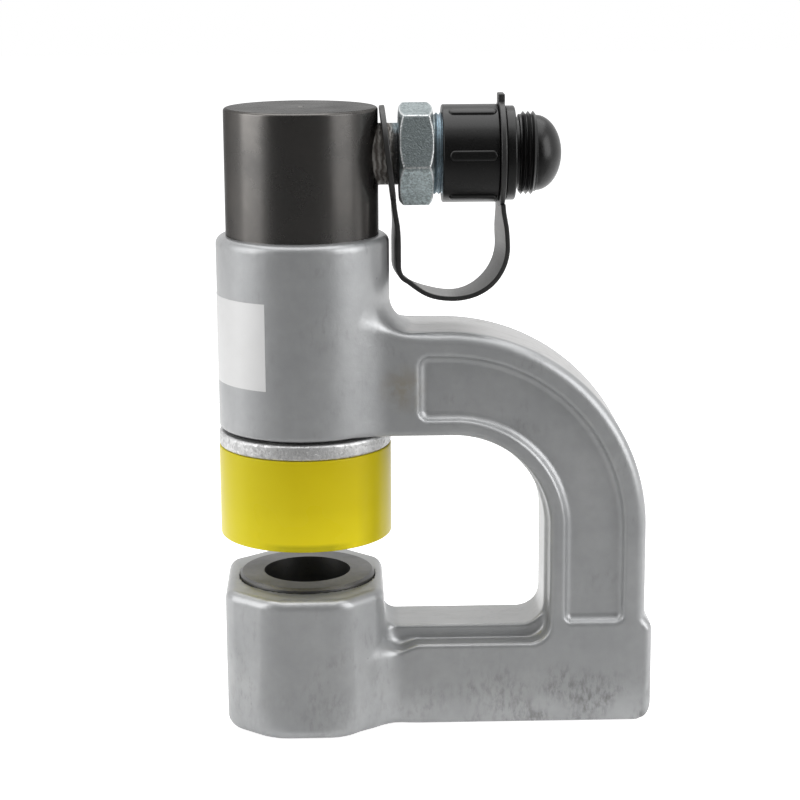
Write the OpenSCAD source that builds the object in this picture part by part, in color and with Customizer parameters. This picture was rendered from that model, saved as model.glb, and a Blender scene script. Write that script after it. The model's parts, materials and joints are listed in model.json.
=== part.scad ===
// Hydraulic hole punch: a cast C-frame with a cylinder in its upper jaw, a ram that carries
// the punch and its stripper, a die in the lower jaw, and a capped coupler on the side.
// Millimetres. The punch axis is Z, the base stands on z = 0 and the arm is on the +X side.

/* [Throat] */
// From the punch axis to the back wall of the throat
throat_reach = 95.3; // [90:0.1:110]
// Clear height between the lower rim and the rim under the arm
throat_h = 78.6; // [74:0.1:92]
// Corner radius under the arm
throat_roof_r = 38.2; // [30:0.1:40]
// Corner radius of the rim at the foot of the back wall
throat_floor_r = 9.7; // [8:0.1:13]
// Height of the lower rim above the base
rim_h = 38.7; // [35:0.1:46]
// Width of the rim round the throat
rim_w = 26; // [22:0.1:30]
// How far the rim stands out of the back wall and the roof
rim_proud = 1.2; // [0.8:0.1:2.5]
// Rounding of the rim's edges
rim_edge_r = 1.6; // [1:0.1:3]
// Step from the lower rim down to the ledge of the base
ledge_drop = 5.8; // [4:0.1:9]
// Corner radius of the ledge at the back wall
ledge_corner_r = 8; // [6:0.1:10]
// Rounding of the wide edges round the throat
throat_edge_r = 2.4; // [1.5:0.1:4]

/* [Arm and base] */
// Thickness of the C-frame
frame_w = 43; // [38:0.1:50]
// Height of the arm over the throat
arm_h = 40.9; // [36:0.1:48]
// Thickness of the upright behind the throat
post_t = 38.6; // [34:0.1:44]
// Outer radius of the bend from arm to upright
arm_r = 80; // [66:0.1:84]
// Rounding of the arm's outer edges
arm_edge_r = 5; // [2:0.1:7]
// How far the foot stands out behind the upright
foot_out = 3.2; // [2:0.1:6]
// Height of the foot behind the upright
foot_h = 41; // [36:0.1:50]
// Rounding of the foot's lower corner
foot_corner_r = 7.5; // [4:0.1:12]
// Rounding of the foot's upper corner
foot_top_r = 4; // [2:0.1:6]
// Rounding of the foot's upright edges
foot_side_r = 5; // [2:0.1:9]

/* [Side panels] */
// Depth of the recessed panel in each side of the arm
panel_depth = 3; // [1.5:0.1:4]
// Flange left outside the panel
panel_out = 8.6; // [6:0.1:11]
// Flange left between the panel and the throat
panel_in = 5.8; // [4.5:0.1:8]
// From the punch axis to the start of the panel
panel_start = 44.4; // [43:0.1:50]
// Height of the panel's lower end
panel_low = 41; // [38:0.1:56]
// Corner radius of the panel
panel_r = 3; // [1.5:0.1:4]

/* [Die block] */
// From the punch axis to the block's face in the throat
block_in = 30.7; // [30:0.1:34]
// From the punch axis to the block's free face
block_out = 32.4; // [30:0.1:35]
// Depth of the die block across the arm
block_d = 77.2; // [72:0.1:84]
// Corner chamfer of the die block
block_chamfer = 15.6; // [12:0.1:16]
// Height of the block over the lower rim
block_rise = 18.4; // [16:0.1:24]
// Rounding of the block's top edge
block_edge_r = 3; // [1.5:0.1:4]
// Radius of the blend from the block into the base
base_blend_r = 25; // [18:0.1:32]
// Radius of the blend from the rim up to the block
rim_blend_r = 5; // [3:0.1:8]

/* [Barrel] */
// Outer diameter of the barrel
barrel_d = 68; // [66:0.1:72]
// Height of the barrel
barrel_h = 77.1; // [72:0.1:84]
// Height of the barrel's lower face over the arm's underside
barrel_lift = 0.5; // [0.2:0.1:3]
// Rounding of the barrel's edges
barrel_edge_r = 3.2; // [2:0.1:3.6]
// Radius of the blend from the top of the arm up the barrel
saddle_r = 9; // [6:0.1:12]
// Radius of the blend from the side of the arm to the barrel
shoulder_r = 14; // [10:0.1:16]

/* [Cylinder] */
// Outer diameter of the cylinder head
cap_d = 60; // [59:0.1:61]
// Height of the head over the barrel
cap_h = 49.4; // [46:0.1:56]
// Rounding of the head's top edge
cap_edge_r = 1.2; // [0.5:0.1:2]
// Bore of the cylinder
bore_d = 48; // [46:0.1:49]
// Outer diameter of the head's spigot in the barrel
spigot_d = 56; // [55:0.1:58]
// Thickness of the barrel's lower lip
lip_t = 5.4; // [4:0.1:7]
// Diameter of the ring that seals the spigot
cap_seal_d = 2.4; // [1.8:0.1:2.6]
// Outer diameter of the guide bush
bush_d = 50; // [49:0.1:52]
// Length of the bush below its flange
bush_l = 12.6; // [10:0.1:16]
// Thickness of the bush's flange
bush_flange_t = 4; // [3:0.1:6]
// Height of the rod wiper
wiper_h = 5; // [3:0.1:6]
// Radial width of the rod wiper
wiper_w = 3.4; // [2.5:0.1:4]

/* [Ram] */
// Diameter of the rod
rod_d = 38; // [36:0.1:40]
// Height of the piston
piston_h = 20; // [19:0.1:24]
// Height of the piston seal
seal_h = 5; // [4:0.1:6]
// Height of the ring that backs the seal
backup_h = 2; // [1.5:0.1:2.5]
// Height of the piston's guide ring
guide_h = 6; // [4:0.1:7]
// Depth of the seal groove in the piston
seal_groove = 3.6; // [3:0.1:4]
// Depth of the guide ring's groove in the piston
guide_groove = 2; // [1.5:0.1:2.4]
// Wire diameter of the return spring
spring_wire_d = 3.4; // [2.6:0.1:3.6]
// Turns of the return spring
spring_turns = 6; // [5:1:7]

/* [Punch and die] */
// Diameter of the punch
punch_d = 34; // [30:0.1:34]
// Diameter of the punch's head
punch_head_d = 37.8; // [37:0.1:37.8]
// Height of the punch's head
punch_head_h = 5; // [4:0.1:7]
// How far the punch's face sits above the stripper's lower face
punch_inset = 1; // [0.5:0.1:3]
// Height of the point in the middle of the punch
punch_point_h = 0.8; // [0.4:0.1:1]
// Diameter of the flange of the punch nut
nut_d = 68.4; // [64:0.1:69]
// Height of that flange
nut_flange_h = 6.1; // [5:0.1:9]
// Gap between the flange and the barrel
nut_gap = 0.6; // [0.4:0.1:2]
// Rounding of the flange's upper edge
nut_edge_r = 1.2; // [0.4:0.1:2]
// Diameter of the nut's hub
hub_d = 49; // [46:0.1:52]
// Height of the hub below the flange
hub_h = 16; // [13:0.1:20]
// Thickness of the hub's lip under the punch's head
hub_lip_t = 3; // [2:0.1:4]
// Outer diameter of the stripper
stripper_d = 68.6; // [64:0.1:70]
// Height of the stripper
stripper_h = 36.6; // [32:0.1:40]
// Rounding of the stripper's edges
stripper_edge_r = 0.8; // [0.4:0.1:2]
// Outer diameter of the die
die_d = 54.3; // [53:0.1:57]
// Height of the die
die_h = 20.6; // [18:0.1:24]
// How far the die stands over the block
die_proud = 1.8; // [0.5:0.1:2.5]
// Chamfer of the die's upper edge
die_chamfer = 0.9; // [0.4:0.1:1.2]
// Bore of the die
die_bore_d = 34.8; // [34.2:0.1:36]
// Height of the die's cutting land
die_land_h = 8; // [6:0.1:12]
// Bore below the cutting land
die_relief_d = 36.6; // [36.2:0.1:38]
// Hole for the slugs in the base
slug_hole_d = 38; // [37:0.1:42]
// Diameter of the die's set screw
die_screw_d = 8; // [6:0.1:10]
// Socket of the set screw, across flats
die_screw_af = 4; // [3:0.1:5]

/* [Port and coupler] */
// Height of the port's axis below the top of the head
port_drop = 18.5; // [16:0.1:22]
// Outer diameter of the port nipple
nipple_d = 24; // [20:0.1:25]
// Oil way through port and nipple
oil_d = 9; // [6:0.1:10]
// Depth of the nipple's thread in the head
nipple_in = 11; // [9:0.1:12]
// Depth of the nipple's thread in the coupler
nipple_out = 7.9; // [6:0.1:10]
// Hexagon of the coupler, across flats
hex_af = 36; // [34:0.1:40]
// Length of the hexagon
hex_l = 14; // [12:0.1:18]
// Angle of the hexagon about its axis
hex_turn = 51; // [0:1:60]
// Diameter of the coupler's screw thread
thread_d = 32; // [30:0.1:33]
// Length of the coupler's screw thread
thread_l = 14.9; // [13:0.1:18]
// Pitch of that thread
thread_pitch = 2; // [1.5:0.1:3]
// Bore of the coupler's valve chamber
valve_d = 16; // [14:0.1:18]
// Bore of the coupler's mouth
mouth_d = 10.8; // [9:0.1:11]
// Length of the coupler's mouth
mouth_l = 4; // [3:0.1:5]
// Thickness of the disc that guides the valve
guide_disc_t = 3; // [2:0.1:4]
// Diameter of the valve's stem
stem_d = 4; // [3:0.1:5]
// Wire diameter of the valve's spring
valve_wire_d = 1; // [0.8:0.1:1.2]
// Turns of the valve's spring
valve_turns = 4; // [3:1:4]

/* [Dust cap] */
// Outer diameter of the dust cap's skirt
skirt_d = 38; // [36:0.1:40]
// Length of the skirt
skirt_l = 21.8; // [20:0.1:26]
// Free thread between the hexagon and the skirt
skirt_gap = 3.5; // [2:0.1:4.5]
// Height of the grip ribs over the skirt
rib_h = 0.7; // [0.5:0.1:1.6]
// Width of a grip rib
rib_w = 4.2; // [3:0.1:6]
// Number of grip ribs
rib_count = 6; // [4:1:10]
// Plain band of the skirt before the ribs
rib_start = 4.6; // [3:0.1:7]
// Plain band of the skirt behind the ribs
rib_end = 0.8; // [0.5:0.1:3]
// Diameter of the flange behind the strap
flange_d = 36.6; // [34:0.1:42]
// Thickness of that flange
flange_t = 3.8; // [2.5:0.1:5]
// Diameter of the neck before the stub
neck_d = 27.7; // [25:0.1:29]
// Length of the neck
neck_l = 1.5; // [1:0.1:3]
// Diameter of the stub that the mating cap screws on
stub_d = 32.4; // [30:0.1:34]
// Length of the stub
stub_l = 6.7; // [5:0.1:9]
// Diameter of the dome
dome_d = 29.3; // [27:0.1:30]
// Height of the dome
dome_h = 10.2; // [7:0.1:13]
// Thickness of the sealing disc in the cap
cap_disc_t = 2.2; // [1.5:0.1:3]

/* [Strap] */
// Thickness of the strap
strap_t = 2.2; // [1.5:0.1:3]
// Width of the strap
strap_w = 18; // [14:0.1:20]
// Outer diameter of the ring on the nipple
strap_ring_d = 38; // [34:0.1:40]
// Outer diameter of the ring on the dust cap
strap_cap_ring_d = 41.6; // [40:0.1:44]
// Diameter of the dust cap's groove for the strap
strap_groove_d = 29.4; // [26:0.1:31]
// Height of the pull tab on the ring
tab_h = 2.4; // [1.5:0.1:4]
// Width of the pull tab
tab_w = 9; // [6:0.1:12]
// Height of the strap's lowest point over the arm
strap_clear_h = 11.6; // [8:0.1:14]
// Height of the strap's first bend over its lowest point
strap_bend_h = 13; // [11:0.1:15]
// Radius of the strap's first bend
strap_bend_r = 8; // [6:0.1:10]
// Angle of the strap's first bend
strap_bend_turn = 50; // [45:1:55]
// Angle by which the strap leans back to the cap's ring
strap_back_lean = 9; // [4:1:12]

/* [Hidden] */
$fn = 96;

// Overrun of every cut
over = 2;
// How far a blend is sunk into what it joins
sink = 1.5;
// How far the barrel's blends cut into what they join
bite = 0.3;
// Running clearance of sliding pieces, on the radius
run_fit = 0.05;
// Clearance of pieces that are pressed or screwed together, on the radius
seat_fit = 0.05;
// Clearance between pieces that only pass each other
pass_gap = 0.4;
// Gap between faces that stop against each other
stop_gap = 0.3;

// Springs: rings a turn, sides of the wire, and the share of a turn that lies flat at each end
coil_rings = 12;
coil_sides = 6;
coil_end_share = 0.75;
coil_end_gap = 0.5;

// Heights of the frame
roof_z = rim_h + throat_h;
arm_low_z = roof_z + rim_proud;
arm_top_z = arm_low_z + arm_h;
ledge_z = rim_h - ledge_drop;
block_z = rim_h + block_rise;
barrel_low_z = arm_low_z + barrel_lift;
barrel_top_z = barrel_low_z + barrel_h;
cap_top_z = barrel_top_z + cap_h;
port_z = cap_top_z - port_drop;

// Places of the frame along X
wall_x = throat_reach + rim_proud;
post_x = wall_x + post_t;
foot_x = post_x + foot_out;
arm_cx = post_x - arm_r;
arm_cz = arm_top_z - arm_r;
throat_cx = wall_x - throat_roof_r;
throat_cz = arm_low_z - throat_roof_r;
rim_roof_r = throat_roof_r - rim_proud;
rim_depth = rim_edge_r + rim_proud + sink;

half_w = frame_w / 2;
barrel_r = barrel_d / 2;
shoulder_top_z = arm_top_z - arm_edge_r;
shoulder_cy = half_w + shoulder_r - bite;
shoulder_cx = sqrt(pow(barrel_r + shoulder_r - bite, 2) - pow(shoulder_cy, 2));

// The block's chamfer runs at 45 degrees into the side of the base
block_turn = 45;
base_blend_x = block_in - block_chamfer + block_d / 2 - half_w
             + base_blend_r * tan(block_turn / 2);

// Cylinder, from the lip of the barrel up
rod_r = rod_d / 2;
lip_gap = 1;
bush_z = barrel_low_z + lip_t;
bush_flange_z = bush_z + bush_l;
bush_top_z = bush_flange_z + bush_flange_t;
port_wall = 4;
bore_top_z = port_z - nipple_d / 2 - port_wall;
chamber_top_z = port_z + oil_d / 2 + stop_gap;
cap_seal_z = barrel_top_z - cap_seal_d * 3;
centre_mark_d = 3;

// Ram, from the barrel's lower face and the top of the bore
piston_top_z = bore_top_z - stop_gap;
piston_low_z = piston_top_z - piston_h;
piston_gap = 0.3;
piston_r = bore_d / 2 - piston_gap;
seal_gap = 0.1;
nut_top_z = barrel_low_z - nut_gap;
nut_low_z = nut_top_z - nut_flange_h;
hub_low_z = nut_low_z - hub_h;
punch_head_z = hub_low_z + hub_lip_t;
rod_end_z = punch_head_z + punch_head_h;
stripper_low_z = nut_low_z - stripper_h;
punch_low_z = stripper_low_z + punch_inset;
punch_point_d = 4;
nut_side_gap = 0.8;
seal_land = (piston_h - seal_h - backup_h - guide_h) / 3;
seal_z = piston_top_z - seal_land - seal_h;
backup_z = seal_z - backup_h;
guide_z = piston_low_z + seal_land;
seal_in_r = piston_r - seal_groove + seal_gap;
seal_notch_share = 0.45;
spring_in_r = (rod_r + pass_gap) / cos(180 / coil_rings);
spring_wire = min(spring_wire_d, bore_d / 2 - pass_gap - spring_in_r);
spring_coil_r = spring_in_r + spring_wire / 2;

// Die and its screw
die_top_z = block_z + die_proud;
die_low_z = die_top_z - die_h;
die_gap = 0.15;
screw_z = die_low_z + die_h / 2;
screw_bite = 1;
screw_inset = 1.5;
screw_in_y = die_d / 2 - screw_bite + stop_gap;
screw_out_y = block_d / 2 - screw_inset;
socket_share = 0.5;

// Coupler along X, from the side of the head outwards
strap_rub_gap = 0.8;
strap_ring_x = barrel_r + strap_rub_gap;
hex_x = strap_ring_x + strap_t + stop_gap / 3;
thread_x = hex_x + hex_l;
coupler_end_x = thread_x + thread_l;
port_floor_x = cap_d / 2 - nipple_in;
nipple_end_x = hex_x + nipple_out;
guide_x = nipple_end_x;
guide_end_x = guide_x + guide_disc_t;
guide_disc_d = nipple_d - 2 * pass_gap;
valve_end_x = coupler_end_x - mouth_l;
valve_seal_d = 1.3;
valve_head_x = valve_end_x - valve_seal_d - stop_gap / 3;
valve_head_t = 4;
valve_travel = 4;
valve_gap = 0.3;
valve_coil_r = (stem_d + valve_d) / 4;
face_seal_d = 1.8;
face_seal_r = (mouth_d + thread_d) / 4;
chamfer_turn = 30;

// Dust cap along X
skirt_x = thread_x + skirt_gap;
skirt_end_x = skirt_x + skirt_l;
thread_gap = 0.25;
relief_gap = 0.8;
cap_disc_x = coupler_end_x + stop_gap;
cap_floor_x = cap_disc_x + cap_disc_t;
cap_turns = 4;
relief_x = coupler_end_x - thread_pitch * 1.5;
strap_cap_x = skirt_end_x + stop_gap;
flange_x = strap_cap_x + strap_t + stop_gap;
neck_x = flange_x + flange_t;
stub_x = neck_x + neck_l;
dome_x = stub_x + stub_l;
dome_r = (pow(dome_d / 2, 2) + pow(dome_h, 2)) / (2 * dome_h);
rib_phase = -5;

// Strap route in the XZ plane: a bend, a long run to the lowest point, a turn up past the upright
// and a leg that leans back to the cap's ring
strap_left_x = strap_ring_x + strap_t / 2;
strap_right_x = strap_cap_x + strap_t / 2;
strap_low_z = arm_top_z + strap_clear_h;
strap_bend_z = strap_low_z + strap_bend_h;
strap_run_turn = 90 - strap_bend_turn;
strap_joint_x = strap_left_x + strap_bend_r * (1 - cos(strap_bend_turn));
strap_joint_z = strap_bend_z - strap_bend_r * sin(strap_bend_turn);
strap_run_r = (strap_joint_z - strap_low_z) / (1 - cos(strap_run_turn));
strap_low_x = strap_joint_x + strap_run_r * sin(strap_run_turn);
strap_back_z = port_z - strap_cap_ring_d / 2 + sink;
strap_up_r = (strap_right_x - strap_low_x + tan(strap_back_lean) * (strap_back_z - strap_low_z))
           / (cos(strap_back_lean) + tan(strap_back_lean) * (1 + sin(strap_back_lean)));

// The ring on the nipple leans from the strap's leg towards the top of the head
strap_ring_lean = asin((strap_ring_x - cap_d / 2 - stop_gap) / strap_ring_d);
strap_hub_x = strap_left_x - strap_ring_d / 2 * sin(strap_ring_lean);

// Puts a flat XZ outline across the frame, centred on y = 0
module across(width) {
    rotate([90, 0, 0])
        translate([0, 0, -width / 2])
            linear_extrude(width)
                children();
}

// Runs a flat YZ outline from x = 0 along X
module along_x(length) {
    rotate([90, 0, 90])
        linear_extrude(length)
            children();
}

// Turns a flat outline of radius and width about an axis along Y
module about_y(start, turn) {
    rotate([90, 0, 0])
        rotate([0, 0, start])
            rotate_extrude(angle = turn)
                children();
}

// Turns a flat outline of radius and length about the X axis, length along X
module about_x() {
    rotate([90, 0, 90])
        rotate_extrude()
            children();
}

// A disc or hole with its axis on X
module x_cylinder(start, length, d) {
    translate([start, 0, 0])
        rotate([0, 90, 0])
            cylinder(h = length, d = d);
}

// A ring round Z
module z_ring(low, height, d_in, d_out) {
    translate([0, 0, low])
        difference() {
            cylinder(h = height, d = d_out);
            translate([0, 0, -over])
                cylinder(h = height + 2 * over, d = d_in);
        }
}

// Square from one corner to the other
module box2(low, high) {
    translate(low)
        square(high - low);
}

// Cross-section of the arm as radius and width, with its two outer edges rounded
module arm_section() {
    box2([0, -half_w], [arm_r - arm_edge_r, half_w]);
    box2([0, arm_edge_r - half_w], [arm_r, half_w - arm_edge_r]);
    for (side = [-1, 1])
        translate([arm_r - arm_edge_r, side * (half_w - arm_edge_r)])
            circle(arm_edge_r);
}

// Cross-section of the rim as radius and width, with the two edges at its inner radius rounded
module rim_section(inner_r, depth) {
    side_y = rim_w / 2;
    box2([inner_r + rim_edge_r, -side_y], [inner_r + depth, side_y]);
    box2([inner_r, rim_edge_r - side_y], [inner_r + depth, side_y - rim_edge_r]);
    for (side = [-1, 1])
        translate([inner_r + rim_edge_r, side * (side_y - rim_edge_r)])
            circle(rim_edge_r);
}

// What rounding takes off a square edge: the solid lies at negative x and y
module edge_waste(r) {
    difference() {
        translate([-r, -r])
            square(r + over);
        translate([-r, -r])
            circle(r);
    }
}

// The same waste on both sides of the frame, for an edge round an opening of the given radius
module throat_waste(radius) {
    for (side = [0, 1])
        mirror([0, side])
            translate([radius, half_w])
                mirror([1, 0])
                    edge_waste(throat_edge_r);
}

// Outer form of arm, bend and upright
module arm_outer() {
    translate([0, 0, arm_cz])
        along_x(arm_cx)
            rotate(90)
                arm_section();
    translate([arm_cx, 0, arm_cz])
        about_y(0, 90)
            arm_section();
    translate([arm_cx, 0, ledge_z])
        linear_extrude(arm_cz - ledge_z)
            arm_section();
}

// Base with its foot: a rounded side outline inside a rounded plan
module base() {
    intersection() {
        across(frame_w) {
            box2([0, 0], [foot_x - foot_corner_r, foot_h]);
            box2([0, foot_corner_r], [foot_x, foot_h - foot_top_r]);
            box2([0, foot_corner_r], [foot_x - foot_top_r, foot_h]);
            translate([foot_x - foot_corner_r, foot_corner_r])
                circle(foot_corner_r);
            translate([foot_x - foot_top_r, foot_h - foot_top_r])
                circle(foot_top_r);
        }
        translate([0, 0, -over])
            linear_extrude(foot_h + 2 * over) {
                box2([0, -half_w], [foot_x - foot_side_r, half_w]);
                box2([0, foot_side_r - half_w], [foot_x, half_w - foot_side_r]);
                for (side = [-1, 1])
                    translate([foot_x - foot_side_r, side * (half_w - foot_side_r)])
                        circle(foot_side_r);
            }
    }
}

// Opening of the throat between the wide flanges, with rounded edges
module throat() {
    across(frame_w + 2 * over) {
        box2([-over, ledge_z], [throat_cx, arm_low_z]);
        box2([-over, ledge_z + ledge_corner_r], [wall_x, throat_cz]);
        box2([-over, ledge_z], [wall_x - ledge_corner_r, throat_cz]);
        translate([throat_cx, throat_cz])
            circle(throat_roof_r);
        translate([wall_x - ledge_corner_r, ledge_z + ledge_corner_r])
            circle(ledge_corner_r);
    }
    translate([shoulder_cx, 0, throat_cz])
        along_x(throat_cx - shoulder_cx)
            rotate(90)
                throat_waste(throat_roof_r);
    translate([throat_cx, 0, throat_cz])
        about_y(0, 90)
            throat_waste(throat_roof_r);
    translate([throat_cx, 0, ledge_z + ledge_corner_r])
        linear_extrude(throat_cz - ledge_z - ledge_corner_r)
            throat_waste(throat_roof_r);
    translate([wall_x - ledge_corner_r, 0, ledge_z + ledge_corner_r])
        about_y(-90, 90)
            throat_waste(ledge_corner_r);
    translate([base_blend_x, 0, ledge_z + ledge_corner_r])
        along_x(wall_x - ledge_corner_r - base_blend_x)
            rotate(-90)
                throat_waste(ledge_corner_r);
}

// Narrow rim that runs round the throat
module rim() {
    floor_cx = throat_reach - throat_floor_r;
    floor_cz = rim_h + throat_floor_r;
    floor_depth = ledge_drop + sink;
    block_x = block_in - sink;
    translate([block_x, 0, floor_cz])
        along_x(floor_cx - block_x)
            rotate(-90)
                rim_section(throat_floor_r, floor_depth);
    translate([floor_cx, 0, floor_cz])
        about_y(-90, 90)
            rim_section(throat_floor_r, floor_depth);
    translate([floor_cx, 0, floor_cz])
        linear_extrude(throat_cz - floor_cz)
            rim_section(throat_floor_r, rim_depth);
    translate([throat_cx, 0, throat_cz])
        about_y(0, 90)
            rim_section(rim_roof_r, rim_depth);
    translate([barrel_r, 0, throat_cz])
        along_x(throat_cx - barrel_r)
            rotate(90)
                rim_section(rim_roof_r, rim_depth);
    across(rim_w)
        difference() {
            box2([block_x, rim_h - sink], [block_in + rim_blend_r, rim_h + rim_blend_r]);
            translate([block_in + rim_blend_r, rim_h + rim_blend_r])
                circle(rim_blend_r);
        }
}

// Corners of the die block's plan
function block_plan() = let (a = block_out, b = block_in, y = block_d / 2, c = block_chamfer) [
    [c - a, -y], [b - c, -y], [b, c - y], [b, y - c],
    [b - c, y], [c - a, y], [-a, y - c], [-a, c - y]];

// Eight-sided die block with a rounded top edge
module die_block() {
    plan = block_plan();
    difference() {
        linear_extrude(block_z)
            polygon(plan);
        for (i = [0 : len(plan) - 1])
            let (a = plan[i], b = plan[(i + 1) % len(plan)], run = b - a)
                translate([a[0], a[1], block_z])
                    rotate([0, 0, atan2(run[1], run[0])])
                        translate([-over, 0, 0])
                            along_x(norm(run) + 2 * over)
                                mirror([1, 0])
                                    edge_waste(block_edge_r);
    }
}

// Hollow blends from the block's chamfers into the sides of the base
module base_blends() {
    inward = [-sin(block_turn), cos(block_turn)];
    centre = [base_blend_x, -half_w - base_blend_r];
    on_side = [base_blend_x, -half_w];
    on_block = centre + base_blend_r * inward;
    corner = on_side - [base_blend_r * tan(block_turn / 2), 0];
    for (side = [0, 1])
        mirror([0, side])
            linear_extrude(ledge_z)
                difference() {
                    polygon([on_block, centre, on_side, on_side + [0, sink],
                             corner + [-sink, sink], on_block + sink * inward]);
                    translate(centre)
                        circle(base_blend_r);
                }
}

// Disc about Z between two heights with both edges rounded
module soft_disc(low, high, r, edge) {
    rotate_extrude() {
        box2([0, low], [r - edge, high]);
        box2([0, low + edge], [r, high - edge]);
        for (z = [low + edge, high - edge])
            translate([r - edge, z])
                circle(edge);
    }
}

module barrel() {
    soft_disc(barrel_low_z, barrel_top_z, barrel_r, barrel_edge_r);
}

// Hollow fillet up the barrel from the height low, as radius and height
module barrel_fillet(r, low) {
    difference() {
        box2([0, arm_low_z], [barrel_r + r - bite, low + r - bite]);
        translate([barrel_r + r - bite, low + r - bite])
            circle(r);
    }
}

// Plan of the blends at both sides of the arm, from the barrel to the arm
module shoulder_plan() {
    for (side = [0, 1])
        mirror([0, side])
            difference() {
                polygon([[0, 0], [0, -half_w], [shoulder_cx, -shoulder_cy], [shoulder_cx, 0]]);
                translate([shoulder_cx, -shoulder_cy])
                    circle(shoulder_r);
            }
}

// Blends between the arm and the barrel: upright at both sides, and a saddle on top
module shoulder() {
    intersection() {
        linear_extrude(barrel_top_z)
            shoulder_plan();
        rotate_extrude() {
            box2([0, arm_low_z], [barrel_r + shoulder_r, shoulder_top_z]);
            barrel_fillet(shoulder_r, shoulder_top_z);
        }
    }
    intersection() {
        translate([0, arm_edge_r - half_w, 0])
            cube([foot_x, frame_w - 2 * arm_edge_r, barrel_top_z]);
        rotate_extrude()
            barrel_fillet(saddle_r, arm_top_z);
    }
}

// Outline of the recessed panel: a band along the arm with four rounded corners
module panel_outline() {
    high_z = arm_top_z - panel_out;
    low_z = arm_low_z + panel_in;
    in_x = wall_x + panel_in;
    out_x = post_x - panel_out;
    difference() {
        union() {
            box2([panel_start + panel_r, low_z], [arm_cx, high_z]);
            intersection() {
                translate([arm_cx, arm_cz])
                    circle(arm_r - panel_out);
                box2([arm_cx, arm_cz], [out_x + over, high_z + over]);
            }
            box2([in_x, panel_low + panel_r], [out_x, arm_cz]);
        }
        box2([0, 0], [throat_cx, low_z]);
        translate([throat_cx, throat_cz])
            circle(throat_roof_r + panel_in);
        box2([0, 0], [in_x, throat_cz]);
    }
    box2([panel_start, low_z + panel_r], [panel_start + panel_r, high_z - panel_r]);
    for (z = [low_z + panel_r, high_z - panel_r])
        translate([panel_start + panel_r, z])
            circle(panel_r);
    box2([in_x + panel_r, panel_low], [out_x - panel_r, panel_low + panel_r]);
    for (x = [in_x + panel_r, out_x - panel_r])
        translate([x, panel_low + panel_r])
            circle(panel_r);
}

// Recesses in both sides of the arm
module panels() {
    for (side = [0, 1])
        mirror([0, side, 0])
            translate([0, -half_w - over / 2 + panel_depth / 2, 0])
                across(panel_depth + over)
                    panel_outline();
}

// Stepped bore of the barrel, seat of the die, slug hole and screw hole
module frame_bores() {
    translate([0, 0, barrel_low_z - over])
        cylinder(h = lip_t + 2 * over, r = rod_r + lip_gap);
    translate([0, 0, bush_z])
        cylinder(h = bush_l + over, d = bush_d + 2 * seat_fit);
    translate([0, 0, bush_flange_z])
        cylinder(h = barrel_top_z - bush_flange_z + over, d = spigot_d + 2 * seat_fit);
    translate([0, 0, roof_z - over])
        cylinder(h = barrel_low_z - roof_z + over, d = nut_d + 2 * nut_side_gap);
    translate([0, 0, die_low_z])
        cylinder(h = die_h + over, d = die_d + 2 * die_gap);
    translate([0, 0, -over])
        cylinder(h = die_low_z + 2 * over, d = slug_hole_d);
    translate([0, 0, screw_z])
        rotate([-90, 0, 0])
            cylinder(h = block_d / 2 + over, d = die_screw_d + 2 * seat_fit);
}

module frame_casting() {
    color("silver")
        difference() {
            union() {
                difference() {
                    union() {
                        arm_outer();
                        base();
                    }
                    throat();
                }
                rim();
                die_block();
                base_blends();
                barrel();
                shoulder();
            }
            frame_bores();
            panels();
        }
}

// Cylinder head: a cup whose spigot lines the barrel
module cylinder_cap() {
    cap_r = cap_d / 2;
    color([0.12, 0.12, 0.12])
        difference() {
            union() {
                rotate_extrude() {
                    box2([0, barrel_top_z], [cap_r, cap_top_z - cap_edge_r]);
                    box2([0, barrel_top_z], [cap_r - cap_edge_r, cap_top_z]);
                    translate([cap_r - cap_edge_r, cap_top_z - cap_edge_r])
                        circle(cap_edge_r);
                }
                translate([0, 0, bush_top_z])
                    cylinder(h = barrel_top_z - bush_top_z + sink, d = spigot_d);
            }
            translate([0, 0, bush_top_z - over])
                cylinder(h = bore_top_z - bush_top_z + over, d = bore_d);
            translate([0, 0, bore_top_z - over])
                cylinder(h = chamber_top_z - bore_top_z + over, d = oil_d);
            translate([0, 0, port_z]) {
                x_cylinder(0, cap_r, oil_d);
                x_cylinder(port_floor_x, nipple_in + over, nipple_d + 2 * seat_fit);
            }
            z_ring(cap_seal_z - cap_seal_d / 2, cap_seal_d,
                   spigot_d - 2 * cap_seal_d + 2 * seat_fit, spigot_d + over);
            translate([0, 0, cap_top_z - centre_mark_d / 2])
                cylinder(h = centre_mark_d, d1 = 0, d2 = 2 * centre_mark_d);
        }
}

module cap_seal() {
    color([0.1, 0.1, 0.1])
        translate([0, 0, cap_seal_z])
            rotate_extrude()
                translate([(spigot_d - cap_seal_d) / 2 + seat_fit, 0])
                    circle(d = cap_seal_d - 2 * seat_fit);
}

// Flanged bronze bush, held between the barrel's step and the head's spigot
module guide_bush() {
    color([0.72, 0.52, 0.28])
        difference() {
            union() {
                translate([0, 0, bush_z])
                    cylinder(h = bush_l + bush_flange_t, d = bush_d);
                translate([0, 0, bush_flange_z])
                    cylinder(h = bush_flange_t, d = spigot_d);
            }
            translate([0, 0, bush_z - over])
                cylinder(h = bush_l + bush_flange_t + 2 * over, r = rod_r + run_fit);
            translate([0, 0, bush_z - over])
                cylinder(h = wiper_h + over, r = rod_r + wiper_w);
        }
}

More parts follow.
